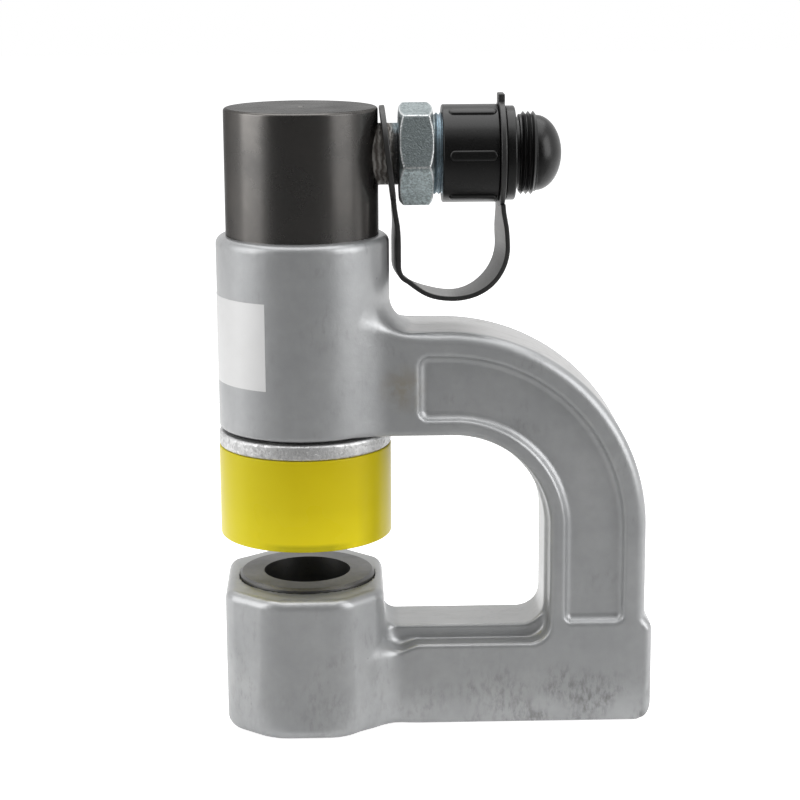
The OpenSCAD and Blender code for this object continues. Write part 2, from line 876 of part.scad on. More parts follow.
// Wiper with a lip that leans on the rod
module rod_wiper() {
    in_r = rod_r + run_fit;
    out_r = rod_r + wiper_w - seat_fit;
    lip_h = wiper_h / 2;
    heel_r = rod_r + wiper_w / 2;
    top_z = bush_z + wiper_h - seat_fit;
    color([0.2, 0.22, 0.25])
        rotate_extrude()
            polygon([[in_r, bush_z], [heel_r, bush_z + lip_h], [out_r, bush_z + lip_h],
                     [out_r, top_z], [heel_r, top_z], [in_r, bush_z + lip_h]]);
}

// Height of a coil's centre line after t turns: flat ends, an even pitch between
function coil_height(t, turns, length, wire) =
    let (end_rise = (wire + coil_end_gap) * coil_end_share,
         middle = turns - 2 * coil_end_share,
         pitch = (length - wire - 2 * end_rise) / middle)
    t < coil_end_share ? t * (wire + coil_end_gap)
    : t > turns - coil_end_share ? length - wire - (turns - t) * (wire + coil_end_gap)
    : end_rise + (t - coil_end_share) * pitch;

// Least gap between neighbouring turns of a coil
function coil_gap(turns, length, wire) =
    min([for (i = [0 : (turns - 1) * coil_rings])
        coil_height(i / coil_rings + 1, turns, length, wire)
        - coil_height(i / coil_rings, turns, length, wire)]) - wire;

// One unbroken wound wire that stands on z = 0
module coil(turns, length, radius, wire) {
    rings = turns * coil_rings;
    points = [for (i = [0 : rings], k = [0 : coil_sides - 1])
        let (a = 360 * i / coil_rings, s = 360 * k / coil_sides,
             r = radius + wire / 2 * cos(s))
        [r * cos(a), r * sin(a),
         wire / 2 + coil_height(i / coil_rings, turns, length, wire) + wire / 2 * sin(s)]];
    skin = [for (i = [0 : rings - 1], k = [0 : coil_sides - 1])
        let (a = i * coil_sides + k, b = i * coil_sides + (k + 1) % coil_sides)
        each [[a, b, a + coil_sides], [b, b + coil_sides, a + coil_sides]]];
    ends = [for (k = [1 : coil_sides - 2])
        each [[0, k + 1, k],
              [rings * coil_sides, rings * coil_sides + k, rings * coil_sides + k + 1]]];
    polyhedron(points, concat(skin, ends));
}

// Return spring between the bush and the piston
module return_spring() {
    length = piston_low_z - bush_top_z - 2 * seat_fit;
    echo(return_spring_least_gap = coil_gap(spring_turns, length, spring_wire));
    color([0.35, 0.36, 0.38])
        translate([0, 0, bush_top_z + seat_fit])
            coil(spring_turns, length, spring_coil_r, spring_wire);
}

// Piston and rod, turned from one bar
module ram() {
    color([0.75, 0.76, 0.78])
        difference() {
            union() {
                translate([0, 0, piston_low_z])
                    cylinder(h = piston_h, r = piston_r);
                translate([0, 0, rod_end_z])
                    cylinder(h = piston_low_z - rod_end_z + sink, r = rod_r);
            }
            z_ring(backup_z, seal_h + backup_h, 2 * (piston_r - seal_groove), bore_d + over);
            z_ring(guide_z, guide_h, 2 * (piston_r - guide_groove), bore_d + over);
        }
}

// Seal with a notch towards the oil
module piston_seal() {
    out_r = bore_d / 2 - run_fit;
    mid_r = (out_r + seal_in_r) / 2;
    lip = (out_r - seal_in_r) * (1 - seal_notch_share) / 2;
    top_z = seal_z + seal_h - seal_gap;
    color([0.15, 0.3, 0.55])
        rotate_extrude()
            polygon([[seal_in_r, seal_z], [out_r, seal_z], [out_r, top_z], [out_r - lip, top_z],
                     [mid_r, top_z - seal_h * seal_notch_share], [seal_in_r + lip, top_z],
                     [seal_in_r, top_z]]);
}

module piston_backup_ring() {
    color([0.85, 0.85, 0.8])
        z_ring(backup_z + seal_gap, backup_h - seal_gap, 2 * seal_in_r, bore_d - 2 * run_fit);
}

module piston_guide_ring() {
    color([0.45, 0.3, 0.2])
        z_ring(guide_z + seal_gap, guide_h - 2 * seal_gap,
               2 * (piston_r - guide_groove + seal_gap), bore_d - 2 * run_fit);
}

// Nut that screws on the rod and holds the punch by its head
module punch_nut() {
    color([0.78, 0.79, 0.8])
        difference() {
            union() {
                soft_disc(nut_low_z, nut_top_z, nut_d / 2, nut_edge_r);
                translate([0, 0, hub_low_z])
                    cylinder(h = hub_h + sink, d = hub_d);
            }
            translate([0, 0, punch_head_z])
                cylinder(h = nut_top_z - punch_head_z + over, r = rod_r + seat_fit);
            translate([0, 0, hub_low_z - over])
                cylinder(h = hub_lip_t + 2 * over, d = punch_d + 2 * die_gap);
        }
}

// Headed punch with a centring point
module punch() {
    color([0.3, 0.31, 0.33]) {
        translate([0, 0, punch_head_z])
            cylinder(h = punch_head_h, d = punch_head_d);
        translate([0, 0, punch_low_z])
            cylinder(h = punch_head_z - punch_low_z + sink, d = punch_d);
        translate([0, 0, punch_low_z - punch_point_h])
            cylinder(h = punch_point_h, d1 = 0, d2 = punch_point_d);
    }
}

// Urethane sleeve that pushes the work off the punch
module stripper() {
    color([0.85, 0.78, 0.1])
        difference() {
            soft_disc(stripper_low_z, nut_low_z, stripper_d / 2, stripper_edge_r);
            translate([0, 0, stripper_low_z - over])
                cylinder(h = stripper_h + 2 * over, d = punch_d + 2 * pass_gap);
            translate([0, 0, hub_low_z - stop_gap])
                cylinder(h = hub_h + stop_gap + over, d = hub_d + 2 * pass_gap);
        }
}

// Die with a cutting land, a relief below it and a notch for its screw
module die() {
    out_r = die_d / 2;
    color([0.25, 0.26, 0.27])
        difference() {
            rotate_extrude()
                polygon([[0, die_low_z], [out_r, die_low_z], [out_r, die_top_z - die_chamfer],
                         [out_r - die_chamfer, die_top_z], [0, die_top_z]]);
            translate([0, 0, die_low_z - over])
                cylinder(h = die_h + 2 * over, d = die_bore_d);
            translate([0, 0, die_low_z - over])
                cylinder(h = die_h - die_land_h + over, d = die_relief_d);
            translate([0, out_r - screw_bite, screw_z])
                rotate([-90, 0, 0])
                    cylinder(h = screw_bite + over, d = die_screw_d);
        }
}

// Set screw with a hexagon socket, on the back of the block
module die_screw() {
    length = screw_out_y - screw_in_y;
    color([0.2, 0.2, 0.21])
        translate([0, screw_out_y, screw_z])
            rotate([90, 0, 0])
                difference() {
                    cylinder(h = length, d = die_screw_d);
                    translate([0, 0, -over])
                        cylinder(h = length * socket_share + over,
                                 d = die_screw_af / cos(chamfer_turn), $fn = 6);
                }
}

module port_nipple() {
    start = port_floor_x + stop_gap;
    color([0.6, 0.61, 0.62])
        translate([0, 0, port_z])
            difference() {
                x_cylinder(start, nipple_end_x - start, nipple_d);
                x_cylinder(start - over, nipple_end_x - start + 2 * over, oil_d);
            }
}

// Hexagon with both ends chamfered by a cone
module coupler_hex() {
    flat_r = hex_af / 2;
    corner_r = flat_r / cos(chamfer_turn);
    slant = (corner_r - flat_r) * tan(chamfer_turn);
    intersection() {
        translate([hex_x, 0, 0])
            rotate([hex_turn, 0, 0])
                rotate([0, 90, 0])
                    cylinder(h = hex_l, r = corner_r, $fn = 6);
        about_x()
            polygon([[0, hex_x], [flat_r, hex_x], [corner_r + over, hex_x + slant + over * tan(chamfer_turn)],
                     [corner_r + over, thread_x - slant - over * tan(chamfer_turn)],
                     [flat_r, thread_x], [0, thread_x]]);
    }
}

// Coupler half: hexagon, thread, nipple socket, valve chamber and mouth
module coupler_body() {
    color([0.7, 0.74, 0.76])
        translate([0, 0, port_z])
            difference() {
                union() {
                    coupler_hex();
                    x_cylinder(thread_x - sink, thread_l + sink, thread_d);
                }
                x_cylinder(hex_x - over, guide_end_x - hex_x + over, nipple_d + 2 * seat_fit);
                x_cylinder(guide_x, valve_end_x - guide_x, valve_d);
                x_cylinder(guide_x, coupler_end_x - guide_x + over, mouth_d);
                about_x()
                    translate([face_seal_r, coupler_end_x])
                        square([face_seal_d + 2 * seat_fit, 2 * face_seal_d], center = true);
            }
}

module coupler_seal() {
    color([0.1, 0.1, 0.1])
        translate([0, 0, port_z])
            about_x()
                translate([face_seal_r, coupler_end_x - face_seal_d / 2])
                    circle(d = face_seal_d - 2 * seat_fit);
}

// Disc with oil holes that carries the valve's stem and its spring
module poppet_guide() {
    hole_count = 4;
    hole_d = (guide_disc_d - stem_d) / 6;
    hole_r = (oil_d / 2 + stem_d / 2) / 2;
    color([0.7, 0.6, 0.35])
        translate([0, 0, port_z])
            difference() {
                x_cylinder(guide_x, guide_disc_t, guide_disc_d);
                x_cylinder(guide_x - over, guide_disc_t + 2 * over, stem_d + 2 * run_fit);
                for (i = [0 : hole_count - 1])
                    rotate([360 * i / hole_count, 0, 0])
                        translate([0, 0, hole_r + hole_d / 2])
                            x_cylinder(guide_x - over, guide_disc_t + 2 * over, hole_d);
            }
}

// Valve: stem, head and a nose that the mating half pushes
module coupler_poppet() {
    stem_x = guide_x - stop_gap;
    color([0.75, 0.76, 0.77])
        translate([0, 0, port_z]) {
            x_cylinder(stem_x, valve_head_x - stem_x, stem_d);
            x_cylinder(valve_head_x - valve_head_t, valve_head_t, valve_d - 2 * valve_gap);
            x_cylinder(valve_head_x - sink, coupler_end_x - valve_head_x + sink,
                       mouth_d - 2 * valve_gap);
        }
}

module poppet_seal() {
    color([0.1, 0.1, 0.1])
        translate([0, 0, port_z])
            about_x()
                translate([(mouth_d + valve_seal_d) / 2, valve_head_x + valve_seal_d / 2])
                    circle(d = valve_seal_d - 2 * seat_fit);
}

// Spring between the guide disc and the valve's head
module coupler_spring() {
    length = valve_head_x - valve_head_t - guide_end_x - 2 * seat_fit;
    echo(coupler_spring_least_gap = coil_gap(valve_turns, length, valve_wire_d));
    color([0.6, 0.6, 0.62])
        translate([guide_end_x + seat_fit, 0, port_z])
            rotate([0, 90, 0])
                coil(valve_turns, length, valve_coil_r, valve_wire_d);
}

// Grip rib: a bar with round ends, laid on the skirt
module grip_rib() {
    start = skirt_x + rib_start + rib_w / 2;
    end = skirt_end_x - rib_end - rib_w / 2;
    out_r = skirt_d / 2 + rib_h;
    intersection() {
        about_x()
            box2([skirt_d / 2 - sink, skirt_x], [out_r, skirt_end_x]);
        rotate([90, 0, 0])
            linear_extrude(out_r + over) {
                box2([start, -rib_w / 2], [end, rib_w / 2]);
                for (x = [start, end])
                    translate([x, 0])
                        circle(d = rib_w);
            }
    }
}

// Dust cap: ribbed skirt, strap groove, flange, stub and dome
module dust_cap() {
    dome_cx = dome_x + dome_h - dome_r;
    color([0.1, 0.1, 0.1])
        translate([0, 0, port_z])
            difference() {
                union() {
                    x_cylinder(skirt_x, skirt_l, skirt_d);
                    for (i = [0 : rib_count - 1])
                        rotate([-rib_phase + 360 * i / rib_count, 0, 0])
                            grip_rib();
                    x_cylinder(skirt_end_x - sink, flange_x - skirt_end_x + 2 * sink, strap_groove_d);
                    x_cylinder(flange_x, flange_t, flange_d);
                    x_cylinder(neck_x - sink, neck_l + 2 * sink, neck_d);
                    x_cylinder(stub_x, stub_l, stub_d);
                    about_x()
                        intersection() {
                            translate([0, dome_cx])
                                circle(dome_r);
                            box2([0, dome_x - sink], [stub_d / 2, dome_x + dome_h + over]);
                        }
                }
                x_cylinder(skirt_x - over, relief_x - skirt_x + over, thread_d + 2 * thread_gap);
                x_cylinder(relief_x, cap_floor_x - relief_x, thread_d + 2 * relief_gap);
            }
}

module dust_cap_seal() {
    color([0.16, 0.15, 0.14])
        translate([0, 0, port_z])
            x_cylinder(cap_disc_x, cap_disc_t, thread_d + 2 * thread_gap);
}

// Stretch of the strap's side outline on an arc of less than half a turn
module strap_arc(centre, radius, start, turn) {
    reach = 2 * radius;
    mid = start + turn / 2;
    translate(centre)
        intersection() {
            difference() {
                circle(radius + strap_t / 2);
                circle(radius - strap_t / 2);
            }
            polygon([[0, 0], reach * [cos(start), sin(start)], reach * [cos(mid), sin(mid)],
                     reach * [cos(start + turn), sin(start + turn)]]);
        }
}

// Side outline of the strap below its rings
module strap_run() {
    up_z = strap_low_z + strap_up_r;
    lean = strap_back_lean;
    rise = strap_back_z - up_z - strap_up_r * sin(lean);
    strap_arc([strap_left_x + strap_bend_r, strap_bend_z], strap_bend_r, 180, strap_bend_turn);
    strap_arc([strap_low_x, strap_low_z + strap_run_r], strap_run_r, 180 + strap_bend_turn,
              strap_run_turn);
    strap_arc([strap_low_x, up_z], strap_up_r, 270, 90 + lean);
    box2([strap_ring_x, strap_bend_z], [strap_ring_x + strap_t, port_z - strap_ring_d / 2 + sink]);
    translate([strap_low_x, up_z])
        rotate(lean)
            translate([strap_up_r - strap_t / 2, 0])
                square([strap_t, rise / cos(lean)]);
}

// Ring at one end of the strap, about the X axis, with its pull tab
module strap_ring(ring_d, hole_d, tab) {
    translate([-strap_t / 2, 0, 0])
        along_x(strap_t)
            difference() {
                union() {
                    circle(d = ring_d);
                    box2([-tab_w / 2, 0], [tab_w / 2, ring_d / 2 + tab]);
                }
                circle(d = hole_d);
            }
}

// Moulded strap that ties the dust cap to the nipple
module dust_cap_strap() {
    color([0.13, 0.13, 0.12]) {
        across(strap_w)
            strap_run();
        translate([strap_hub_x, 0, port_z])
            rotate([0, -strap_ring_lean, 0])
                strap_ring(strap_ring_d, nipple_d + 2 * pass_gap, 0);
        translate([strap_right_x, 0, port_z])
            strap_ring(strap_cap_ring_d, strap_groove_d + 2 * pass_gap, tab_h);
    }
}

frame_casting();
cylinder_cap();
cap_seal();
guide_bush();
rod_wiper();
return_spring();
ram();
piston_seal();
piston_backup_ring();
piston_guide_ring();
punch_nut();
punch();
stripper();
die();
die_screw();
port_nipple();
coupler_body();
coupler_seal();
poppet_guide();
coupler_poppet();
poppet_seal();
coupler_spring();
dust_cap();
dust_cap_seal();
dust_cap_strap();
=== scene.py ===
"""Looks of the hydraulic hole punch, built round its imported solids.

The working sizes are millimetres in the frame of the solids: the punch axis is Z, the base stands on
z = 0, and the arm and the coupler lie on the +X side. Meshes and shader coordinates are in metres.
"""
import json
from math import cos, pi, radians, sin, tan

import bmesh
import bpy
import numpy as np
import openvdb
from mathutils import Matrix, Vector

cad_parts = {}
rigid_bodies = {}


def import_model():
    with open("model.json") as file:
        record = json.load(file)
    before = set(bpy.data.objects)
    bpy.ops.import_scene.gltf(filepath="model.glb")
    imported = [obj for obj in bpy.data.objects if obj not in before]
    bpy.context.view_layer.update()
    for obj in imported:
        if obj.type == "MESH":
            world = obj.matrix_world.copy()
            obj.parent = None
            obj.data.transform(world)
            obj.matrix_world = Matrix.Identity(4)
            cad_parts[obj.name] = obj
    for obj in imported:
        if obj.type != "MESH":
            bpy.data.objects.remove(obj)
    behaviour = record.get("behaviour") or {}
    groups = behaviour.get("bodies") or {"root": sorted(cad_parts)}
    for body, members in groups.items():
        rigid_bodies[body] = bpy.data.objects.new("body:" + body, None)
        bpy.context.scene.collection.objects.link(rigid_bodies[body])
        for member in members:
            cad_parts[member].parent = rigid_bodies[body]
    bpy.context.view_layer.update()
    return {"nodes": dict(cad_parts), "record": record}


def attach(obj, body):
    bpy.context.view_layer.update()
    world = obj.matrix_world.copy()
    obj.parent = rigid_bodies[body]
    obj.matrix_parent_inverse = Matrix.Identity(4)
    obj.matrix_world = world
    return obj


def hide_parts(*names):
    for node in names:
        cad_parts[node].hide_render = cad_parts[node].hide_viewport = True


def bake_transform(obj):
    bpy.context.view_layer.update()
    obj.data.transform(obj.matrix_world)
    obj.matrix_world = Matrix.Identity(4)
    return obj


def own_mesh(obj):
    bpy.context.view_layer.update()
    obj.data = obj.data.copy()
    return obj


MM = 0.001
ORIGIN = (0.0, 0.0, 0.0)

for leftover in list(bpy.data.objects):
    bpy.data.objects.remove(leftover)

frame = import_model()
scene = bpy.context.scene

# Frame casting: half widths along Y, then its outline in X and Z
HALF_W, RIM_HALF_W, PANEL_FLOOR = 21.5, 13.0, 18.5
WALL_X, POST_X, FOOT_X, RIM_X = 96.5, 135.1, 138.3, 95.3
ARM_LOW_Z, ARM_TOP_Z, FOOT_Z, LEDGE_Z, LEDGE_DROP = 118.5, 159.4, 41.0, 32.9, 2.8
RIM_FLOOR_Z, RIM_ROOF_Z, RIM_DEPTH = 38.7, 117.3, 10.0
BARREL_R, BARREL_LOW_Z, BARREL_TOP_Z, SADDLE_TOP_Z = 34.0, 119.0, 196.1, 188.0

# Die block: reach towards the arm and away from it, half width, height, and its chamfers along Y and X
BLOCK_IN, BLOCK_OUT, BLOCK_Y, BLOCK_Z = 30.7, 32.4, 38.6, 57.1
BLOCK_CUT, BLOCK_OUT_CUT = 15.6, 18.2

# Sunk panel: margins to the arm's outline and the throat, its two ends and the slope of its walls
PANEL_OUT, PANEL_IN, PANEL_X, PANEL_LOW_Z, PANEL_SLOPE = 8.6, 5.8, 44.4, 41.0, 0.6

# Holes about the punch axis (radius, lower end, upper end), and the set screw's hole
HOLES = ((35.0, 100.0, BARREL_LOW_Z), (20.0, 118.0, 130.0), (25.05, 124.4, 140.0),
         (28.05, 137.0, 230.0), (27.3, 38.3, 90.0), (19.0, -20.0, 45.0))
SCREW_Z, SCREW_R = 48.6, 4.05

# Radii of the casting's corners in the side view, of its fillets and of its edges
ARM_R, WALL_R, FLOOR_R, RIM_ROOF_R, RIM_FLOOR_R, FOOT_R, TOE_R = 80.0, 38.2, 8.0, 37.0, 9.7, 4.0, 7.5
FOOT_FILLET, BARREL_FILLET, SADDLE_FILLET, PANEL_FILLET = 3.0, 6.0, 12.0, 1.6
RIM_EDGE, BLOCK_EDGE, PANEL_EDGE, HOLE_EDGE, SCREW_EDGE = 1.6, 4.0, 1.0, 0.45, 0.3
PANEL_SIDE_R, PANEL_LOW_R = 4.5, 3.5

# Ends of outlines that lie well past the part
FAR, DEEP, HIGH = -150.0, -100.0, 400.0

# Coupler and dust cap along their axis; bores are (radius, left end, right end)
PORT_Z = 227.0
HEX_X, THREAD_X, COUPLER_END_X, HEX_TURN, HEX_HALF, ROOT_R = 37.9, 51.1, 66.0, 51.0, 18.0, 15.1
COUPLER_BORES = ((12.05, 30.0, 48.0), (8.0, 40.0, 62.0), (5.4, 60.0, 70.0))
SKIRT_X, SKIRT_END_X, SKIRT_R, SKIRT_BORE_R = 54.6, 76.4, 19.0, 16.25
FLANGE_X, NECK_X, STUB_X, DOME_X, CAP_TIP_X = 79.2, 83.0, 84.5, 91.2, 101.4
FLANGE_R, GROOVE_R, NECK_R, STUB_R, DOME_R = 18.3, 14.7, 13.85, 15.0, 14.65

# Stripper: its ends, the end of the nut's seat in it, and its radii
STRIPPER_LOW_Z, STRIPPER_TOP_Z, STRIPPER_SEAT_Z = 75.7, 112.3, 96.0
STRIPPER_R, STRIPPER_BORE_R, STRIPPER_SEAT_R = 34.3, 17.4, 24.9

# Strap: sizes of its band, middle of the nipple's ring and of the cap's ring, and the lean of the nipple's ring
STRAP_T, STRAP_W, STRAP_LEFT_X, STRAP_RIGHT_X, STRAP_RING_LEAN = 2.2, 18.0, 35.9, 77.8, radians(6.8)
NIPPLE_RING_R, CAP_RING_R = 19.0, 20.8


def place_camera():
    """Camera at the photograph's place, from the fitted position and viewing axes."""
    data = bpy.data.cameras.new("photo_camera")
    data.sensor_width = 36.0
    data.lens = 98.92
    data.clip_start, data.clip_end = 0.05, 20.0
    camera = bpy.data.objects.new("photo_camera", data)
    scene.collection.objects.link(camera)
    right = Vector((0.999532, -0.030079, -0.005530))
    up = Vector((0.012025, 0.220276, 0.975363))
    back = -Vector((0.028120, 0.974974, -0.220535))
    turn = Matrix((right, up, back)).transposed().to_4x4()
    camera.matrix_world = Matrix.Translation((0.013305, -0.855725, 0.322203)) @ turn
    scene.camera = camera


# ---- nodes ----


class Net:
    """A node tree in the making, with short calls for the nodes that come up often."""

    def __init__(self, tree):
        self.tree = tree

    def feed(self, socket, value):
        """Links an output to a socket, or sets the socket's own value."""
        if isinstance(value, bpy.types.NodeSocket):
            self.tree.links.new(value, socket)
        else:
            socket.default_value = value

    def put(self, kind, inputs=None, **settings):
        """Adds a node with settings and inputs; returns its outputs. A short kind is a shader node."""
        made = self.tree.nodes.new(kind if "Node" in kind else "ShaderNode" + kind)
        for name, value in settings.items():
            setattr(made, name, value)
        for name, value in (inputs or {}).items():
            self.feed(made.inputs[name], value)
        return made.outputs

    def math(self, operation, *values):
        """Output of a Math node."""
        return self.put("Math", dict(enumerate(values)), operation=operation)[0]

    def times(self, a, b):
        """Product of two values."""
        return self.math("MULTIPLY", a, b)

    def plus(self, base, value, factor):
        """A base with a scaled value on top."""
        return self.math("MULTIPLY_ADD", value, factor, base)

    def vector(self, operation, *values, **named):
        """Outputs of a Vector Math node."""
        return self.put("VectorMath", {**dict(enumerate(values)), **named}, operation=operation)

    def mix(self, factor, a, b):
        """Mix of two colours."""
        return self.put("Mix", {0: factor, 6: a, 7: b}, data_type="RGBA")[2]

    def fit(self, value, low, high, to_low=0.0, to_high=1.0):
        """Maps a value from one range to another, clamped."""
        return self.put("MapRange", {"Value": value, "From Min": low, "From Max": high,
                                     "To Min": to_low, "To Max": to_high})[0]

    def noise(self, place, scale, detail, roughness=0.5):
        """Noise from 0 to 1."""
        return self.put("TexNoise", {"Vector": place, "Scale": scale, "Detail": detail, "Roughness": roughness})[0]


SOCKETS = {float: "NodeSocketFloat", int: "NodeSocketInt", tuple: "NodeSocketVector", str: "NodeSocketMaterial",
           type(None): "NodeSocketGeometry"}


def new_group(name, family, inputs, *outputs):
    """Shader or Geometry group; an input's default value tells its type, None is a geometry and text a material.

    Returns the group's net, the sockets of its inputs and the sockets of its outputs.
    """
    tree = bpy.data.node_groups.new(name, family + "NodeTree")
    for label, value in inputs.items():
        socket = tree.interface.new_socket(name=label, in_out="INPUT", socket_type=SOCKETS[type(value)])
        if value:
            socket.default_value = value
    for label in outputs:
        kind = "NodeSocketFloat" if family == "Shader" else "NodeSocketGeometry"
        tree.interface.new_socket(name=label, in_out="OUTPUT", socket_type=kind)
    return Net(tree), tree.nodes.new("NodeGroupInput").outputs, tree.nodes.new("NodeGroupOutput").inputs


def mottle_group():
    """Soft clouds and fine specks that break up an even finish."""
    net, inp, out = new_group("mottle", "Shader", {"Vector": ORIGIN, "Cloud Scale": 40.0, "Speck Scale": 900.0},
                              "Cloud", "Speck")
    cloud = net.noise(inp["Vector"], inp["Cloud Scale"], 4.0, 0.6)
    net.feed(out["Cloud"], net.fit(cloud, 0.3, 0.7))
    net.feed(out["Speck"], net.noise(inp["Vector"], inp["Speck Scale"], 2.0))
    return net.tree


def scratch_group():
    """Short scratches in one direction, as a mask."""
    net, inp, out = new_group("scratches", "Shader", {"Vector": ORIGIN, "Turn": 0.0, "Scale": 60.0, "Amount": 0.5},
                              "Mask")
    angle = net.put("CombineXYZ", {"Y": inp["Turn"]})[0]
    spun = net.put("VectorRotate", {"Vector": inp["Vector"], "Rotation": angle}, rotation_type="EULER_XYZ")[0]
    drawn = net.vector("MULTIPLY", spun, (1.0, 1.0, 0.16))[0]
    fine = net.noise(drawn, inp["Scale"], 5.0, 0.7)
    limit = net.math("SUBTRACT", 0.78, net.times(inp["Amount"], 0.3))
    net.feed(out["Mask"], net.fit(fine, limit, net.math("ADD", limit, 0.16)))
    return net.tree


def lathe_group():
    """Rings of a turned surface about the Z axis, as a height from 0 to 1."""
    net, inp, out = new_group("lathe_rings", "Shader", {"Vector": ORIGIN, "Along": (0.0, 0.0, 1.0), "Scale": 2500.0},
                              "Height")
    flat = net.vector("MULTIPLY", inp["Vector"], (1.0, 1.0, 0.0))[0]
    radius = net.vector("LENGTH", flat)["Value"]
    along = net.vector("DOT_PRODUCT", inp["Vector"], inp["Along"])["Value"]
    place = net.put("CombineXYZ", {"X": radius, "Y": along})[0]
    net.feed(out["Height"], net.noise(place, inp["Scale"], 3.0, 0.6))
    return net.tree


MOTTLE = mottle_group()
SCRATCHES = scratch_group()
LATHE = lathe_group()


def bare_tree(owner):
    """Net of a material or world, emptied."""
    owner.use_nodes = True
    owner.node_tree.nodes.clear()
    return Net(owner.node_tree)


class Coat(Net):
    """A material in Object coordinates, with one Principled shader that holds its constants."""

    def __init__(self, name, **constants):
        self.material = bpy.data.materials.new(name)
        super().__init__(bare_tree(self.material).tree)
        self.shader = self.tree.nodes.new("ShaderNodeBsdfPrincipled")
        for label, value in constants.items():
            self.shader.inputs[label.replace("_", " ")].default_value = value
        self.put("OutputMaterial", {"Surface": self.shader.outputs[0]})
        self.place = self.put("TexCoord")["Object"]
        self.tone = None

    def group(self, group, **inputs):
        """Outputs of a shader group; underscores stand for spaces."""
        named = {label.replace("_", " "): value for label, value in inputs.items()}
        return self.put("Group", {"Vector": self.place, **named}, node_tree=group)

    def mottle(self, cloud_scale, speck_scale):
        """Cloud and speck of the mottle group."""
        made = self.group(MOTTLE, Cloud_Scale=cloud_scale, Speck_Scale=speck_scale)
        return made["Cloud"], made["Speck"]

    def scratches(self, turn, scale, amount):
        """Mask of the scratches group."""
        return self.group(SCRATCHES, Turn=turn, Scale=scale, Amount=amount)["Mask"]

    def axes(self):
        """The coordinates one by one."""
        return self.put("SeparateXYZ", {"Vector": self.place})

    def mark(self, name):
        """Value of a mesh attribute, 0 where a mesh has none."""
        return self.put("Attribute", attribute_name=name)["Fac"]

    def base(self, share, a, b):
        """Starts the tone with a mix of two colours."""
        self.tone = self.mix(share, a, b)

    def over(self, share, colour):
        """Lays a colour over a share of the tone."""
        self.tone = self.mix(share, self.tone, colour)

    def done(self, rough, height=None, strength=0.0, distance=0.0):
        """Links tone, roughness and bump; returns the material."""
        self.feed(self.shader.inputs["Base Color"], self.tone)
        self.feed(self.shader.inputs["Roughness"], rough)
        if height is not None:
            bump = self.put("Bump", {"Height": height, "Strength": strength, "Distance": distance})[0]
            self.feed(self.shader.inputs["Normal"], bump)
        return self.material


def grey(value, warm=0.0):
    """Linear grey with an optional warm or cool tint."""
    return (value * (1 + warm), value, value * (1 - warm), 1.0)


# ---- materials ----


def silver_paint():
    """Metallic paint over a casting: clouds, cast skin, ground lands, smudges near the foot and a stain on the arm."""
    c = Coat("silver_paint", Metallic=0.55, Coat_Weight=0.3, Coat_Roughness=0.2)
    cloud, speck = c.mottle(34.0, 1500.0)
    skin, _ = c.mottle(170.0, 520.0)
    c.base(cloud, grey(0.335, -0.02), grey(0.405, -0.012))
    c.over(c.times(skin, 0.32), grey(0.29, -0.015))
    land = c.mark("ground_land")
    streaks = c.scratches(1.45, 420.0, 0.9)
    c.over(c.times(land, 0.8), c.mix(streaks, grey(0.57, 0.01), grey(0.45, 0.015)))
    # Smudges low on the base, most of them towards the foot, and a little soot all over
    soot = grey(0.17, 0.01)
    xyz = c.axes()
    near_foot = c.times(c.fit(xyz["Z"], 0.026, 0.013), c.fit(xyz["X"], 0.06, 0.095, 0.25))
    marks = c.noise(c.vector("MULTIPLY", c.place, (1.0, 1.0, 0.42))[0], 420.0, 4.0, 0.65)
    patch = c.noise(c.place, 60.0, 3.0)
    scuffed = c.times(near_foot, c.times(c.fit(marks, 0.43, 0.64), c.fit(patch, 0.36, 0.54)))
    c.over(c.times(scuffed, 0.75), soot)
    c.over(c.times(c.fit(marks, 0.5, 0.7, 0.0, 0.4), c.fit(patch, 0.52, 0.68)), soot)
    # Stain on the arm's front
    away = c.vector("DISTANCE", c.place, (0.039, -0.0215, 0.138))["Value"]
    c.over(c.times(c.fit(away, 0.011, 0.002, 0.0, 0.55), c.fit(skin, 0.2, 0.7, 0.2)), (0.27, 0.235, 0.165, 1.0))
    cells = c.put("TexVoronoi", {"Vector": c.place, "Scale": 75.0})["Distance"]
    pits = c.times(c.fit(cells, 0.045, 0.025), c.fit(cloud, 0.5, 0.85))
    c.over(c.times(pits, 0.6), grey(0.12))
    rough = c.plus(c.plus(c.fit(cloud, 0.0, 1.0, 0.42, 0.35), land, 0.06), scuffed, 0.15)
    height = c.plus(c.plus(skin, speck, 0.25), cloud, 1.6)
    return c.done(rough, c.plus(height, pits, -2.0), 0.5, 0.00012)


def black_oxide():
    """Blackened turned steel with a brown cast, faint lathe rings, circles on the cap's top and a strip of painted
    shade on its right.
    """
    c = Coat("black_oxide", Metallic=0.9, Specular_Tint=grey(0.35))
    cloud, _ = c.mottle(55.0, 2200.0)
    c.base(cloud, grey(0.1, 0.03), grey(0.13, 0.05))
    c.over(c.times(c.scratches(0.6, 210.0, 0.35), 0.35), grey(0.24, 0.02))
    faced = c.group(LATHE, Along=ORIGIN, Scale=170.0)["Height"]
    xyz = c.axes()
    c.over(c.times(c.fit(faced, 0.44, 0.56), c.fit(xyz["Z"], 0.2494, 0.2499)), (0.05, 0.032, 0.027, 1.0))
    # Painted shade: a darker strip on the cap's right, which dims the right lamp's reflection there
    c.over(c.times(c.fit(xyz["X"], 0.009, 0.013, 0.0, 0.4), c.fit(xyz["X"], 0.020, 0.024, 1.0, 0.0)), grey(0.0))
    rings = c.group(LATHE, Scale=1800.0)["Height"]
    return c.done(c.fit(cloud, 0.0, 1.0, 0.3, 0.22), rings, 0.12, 0.00005)


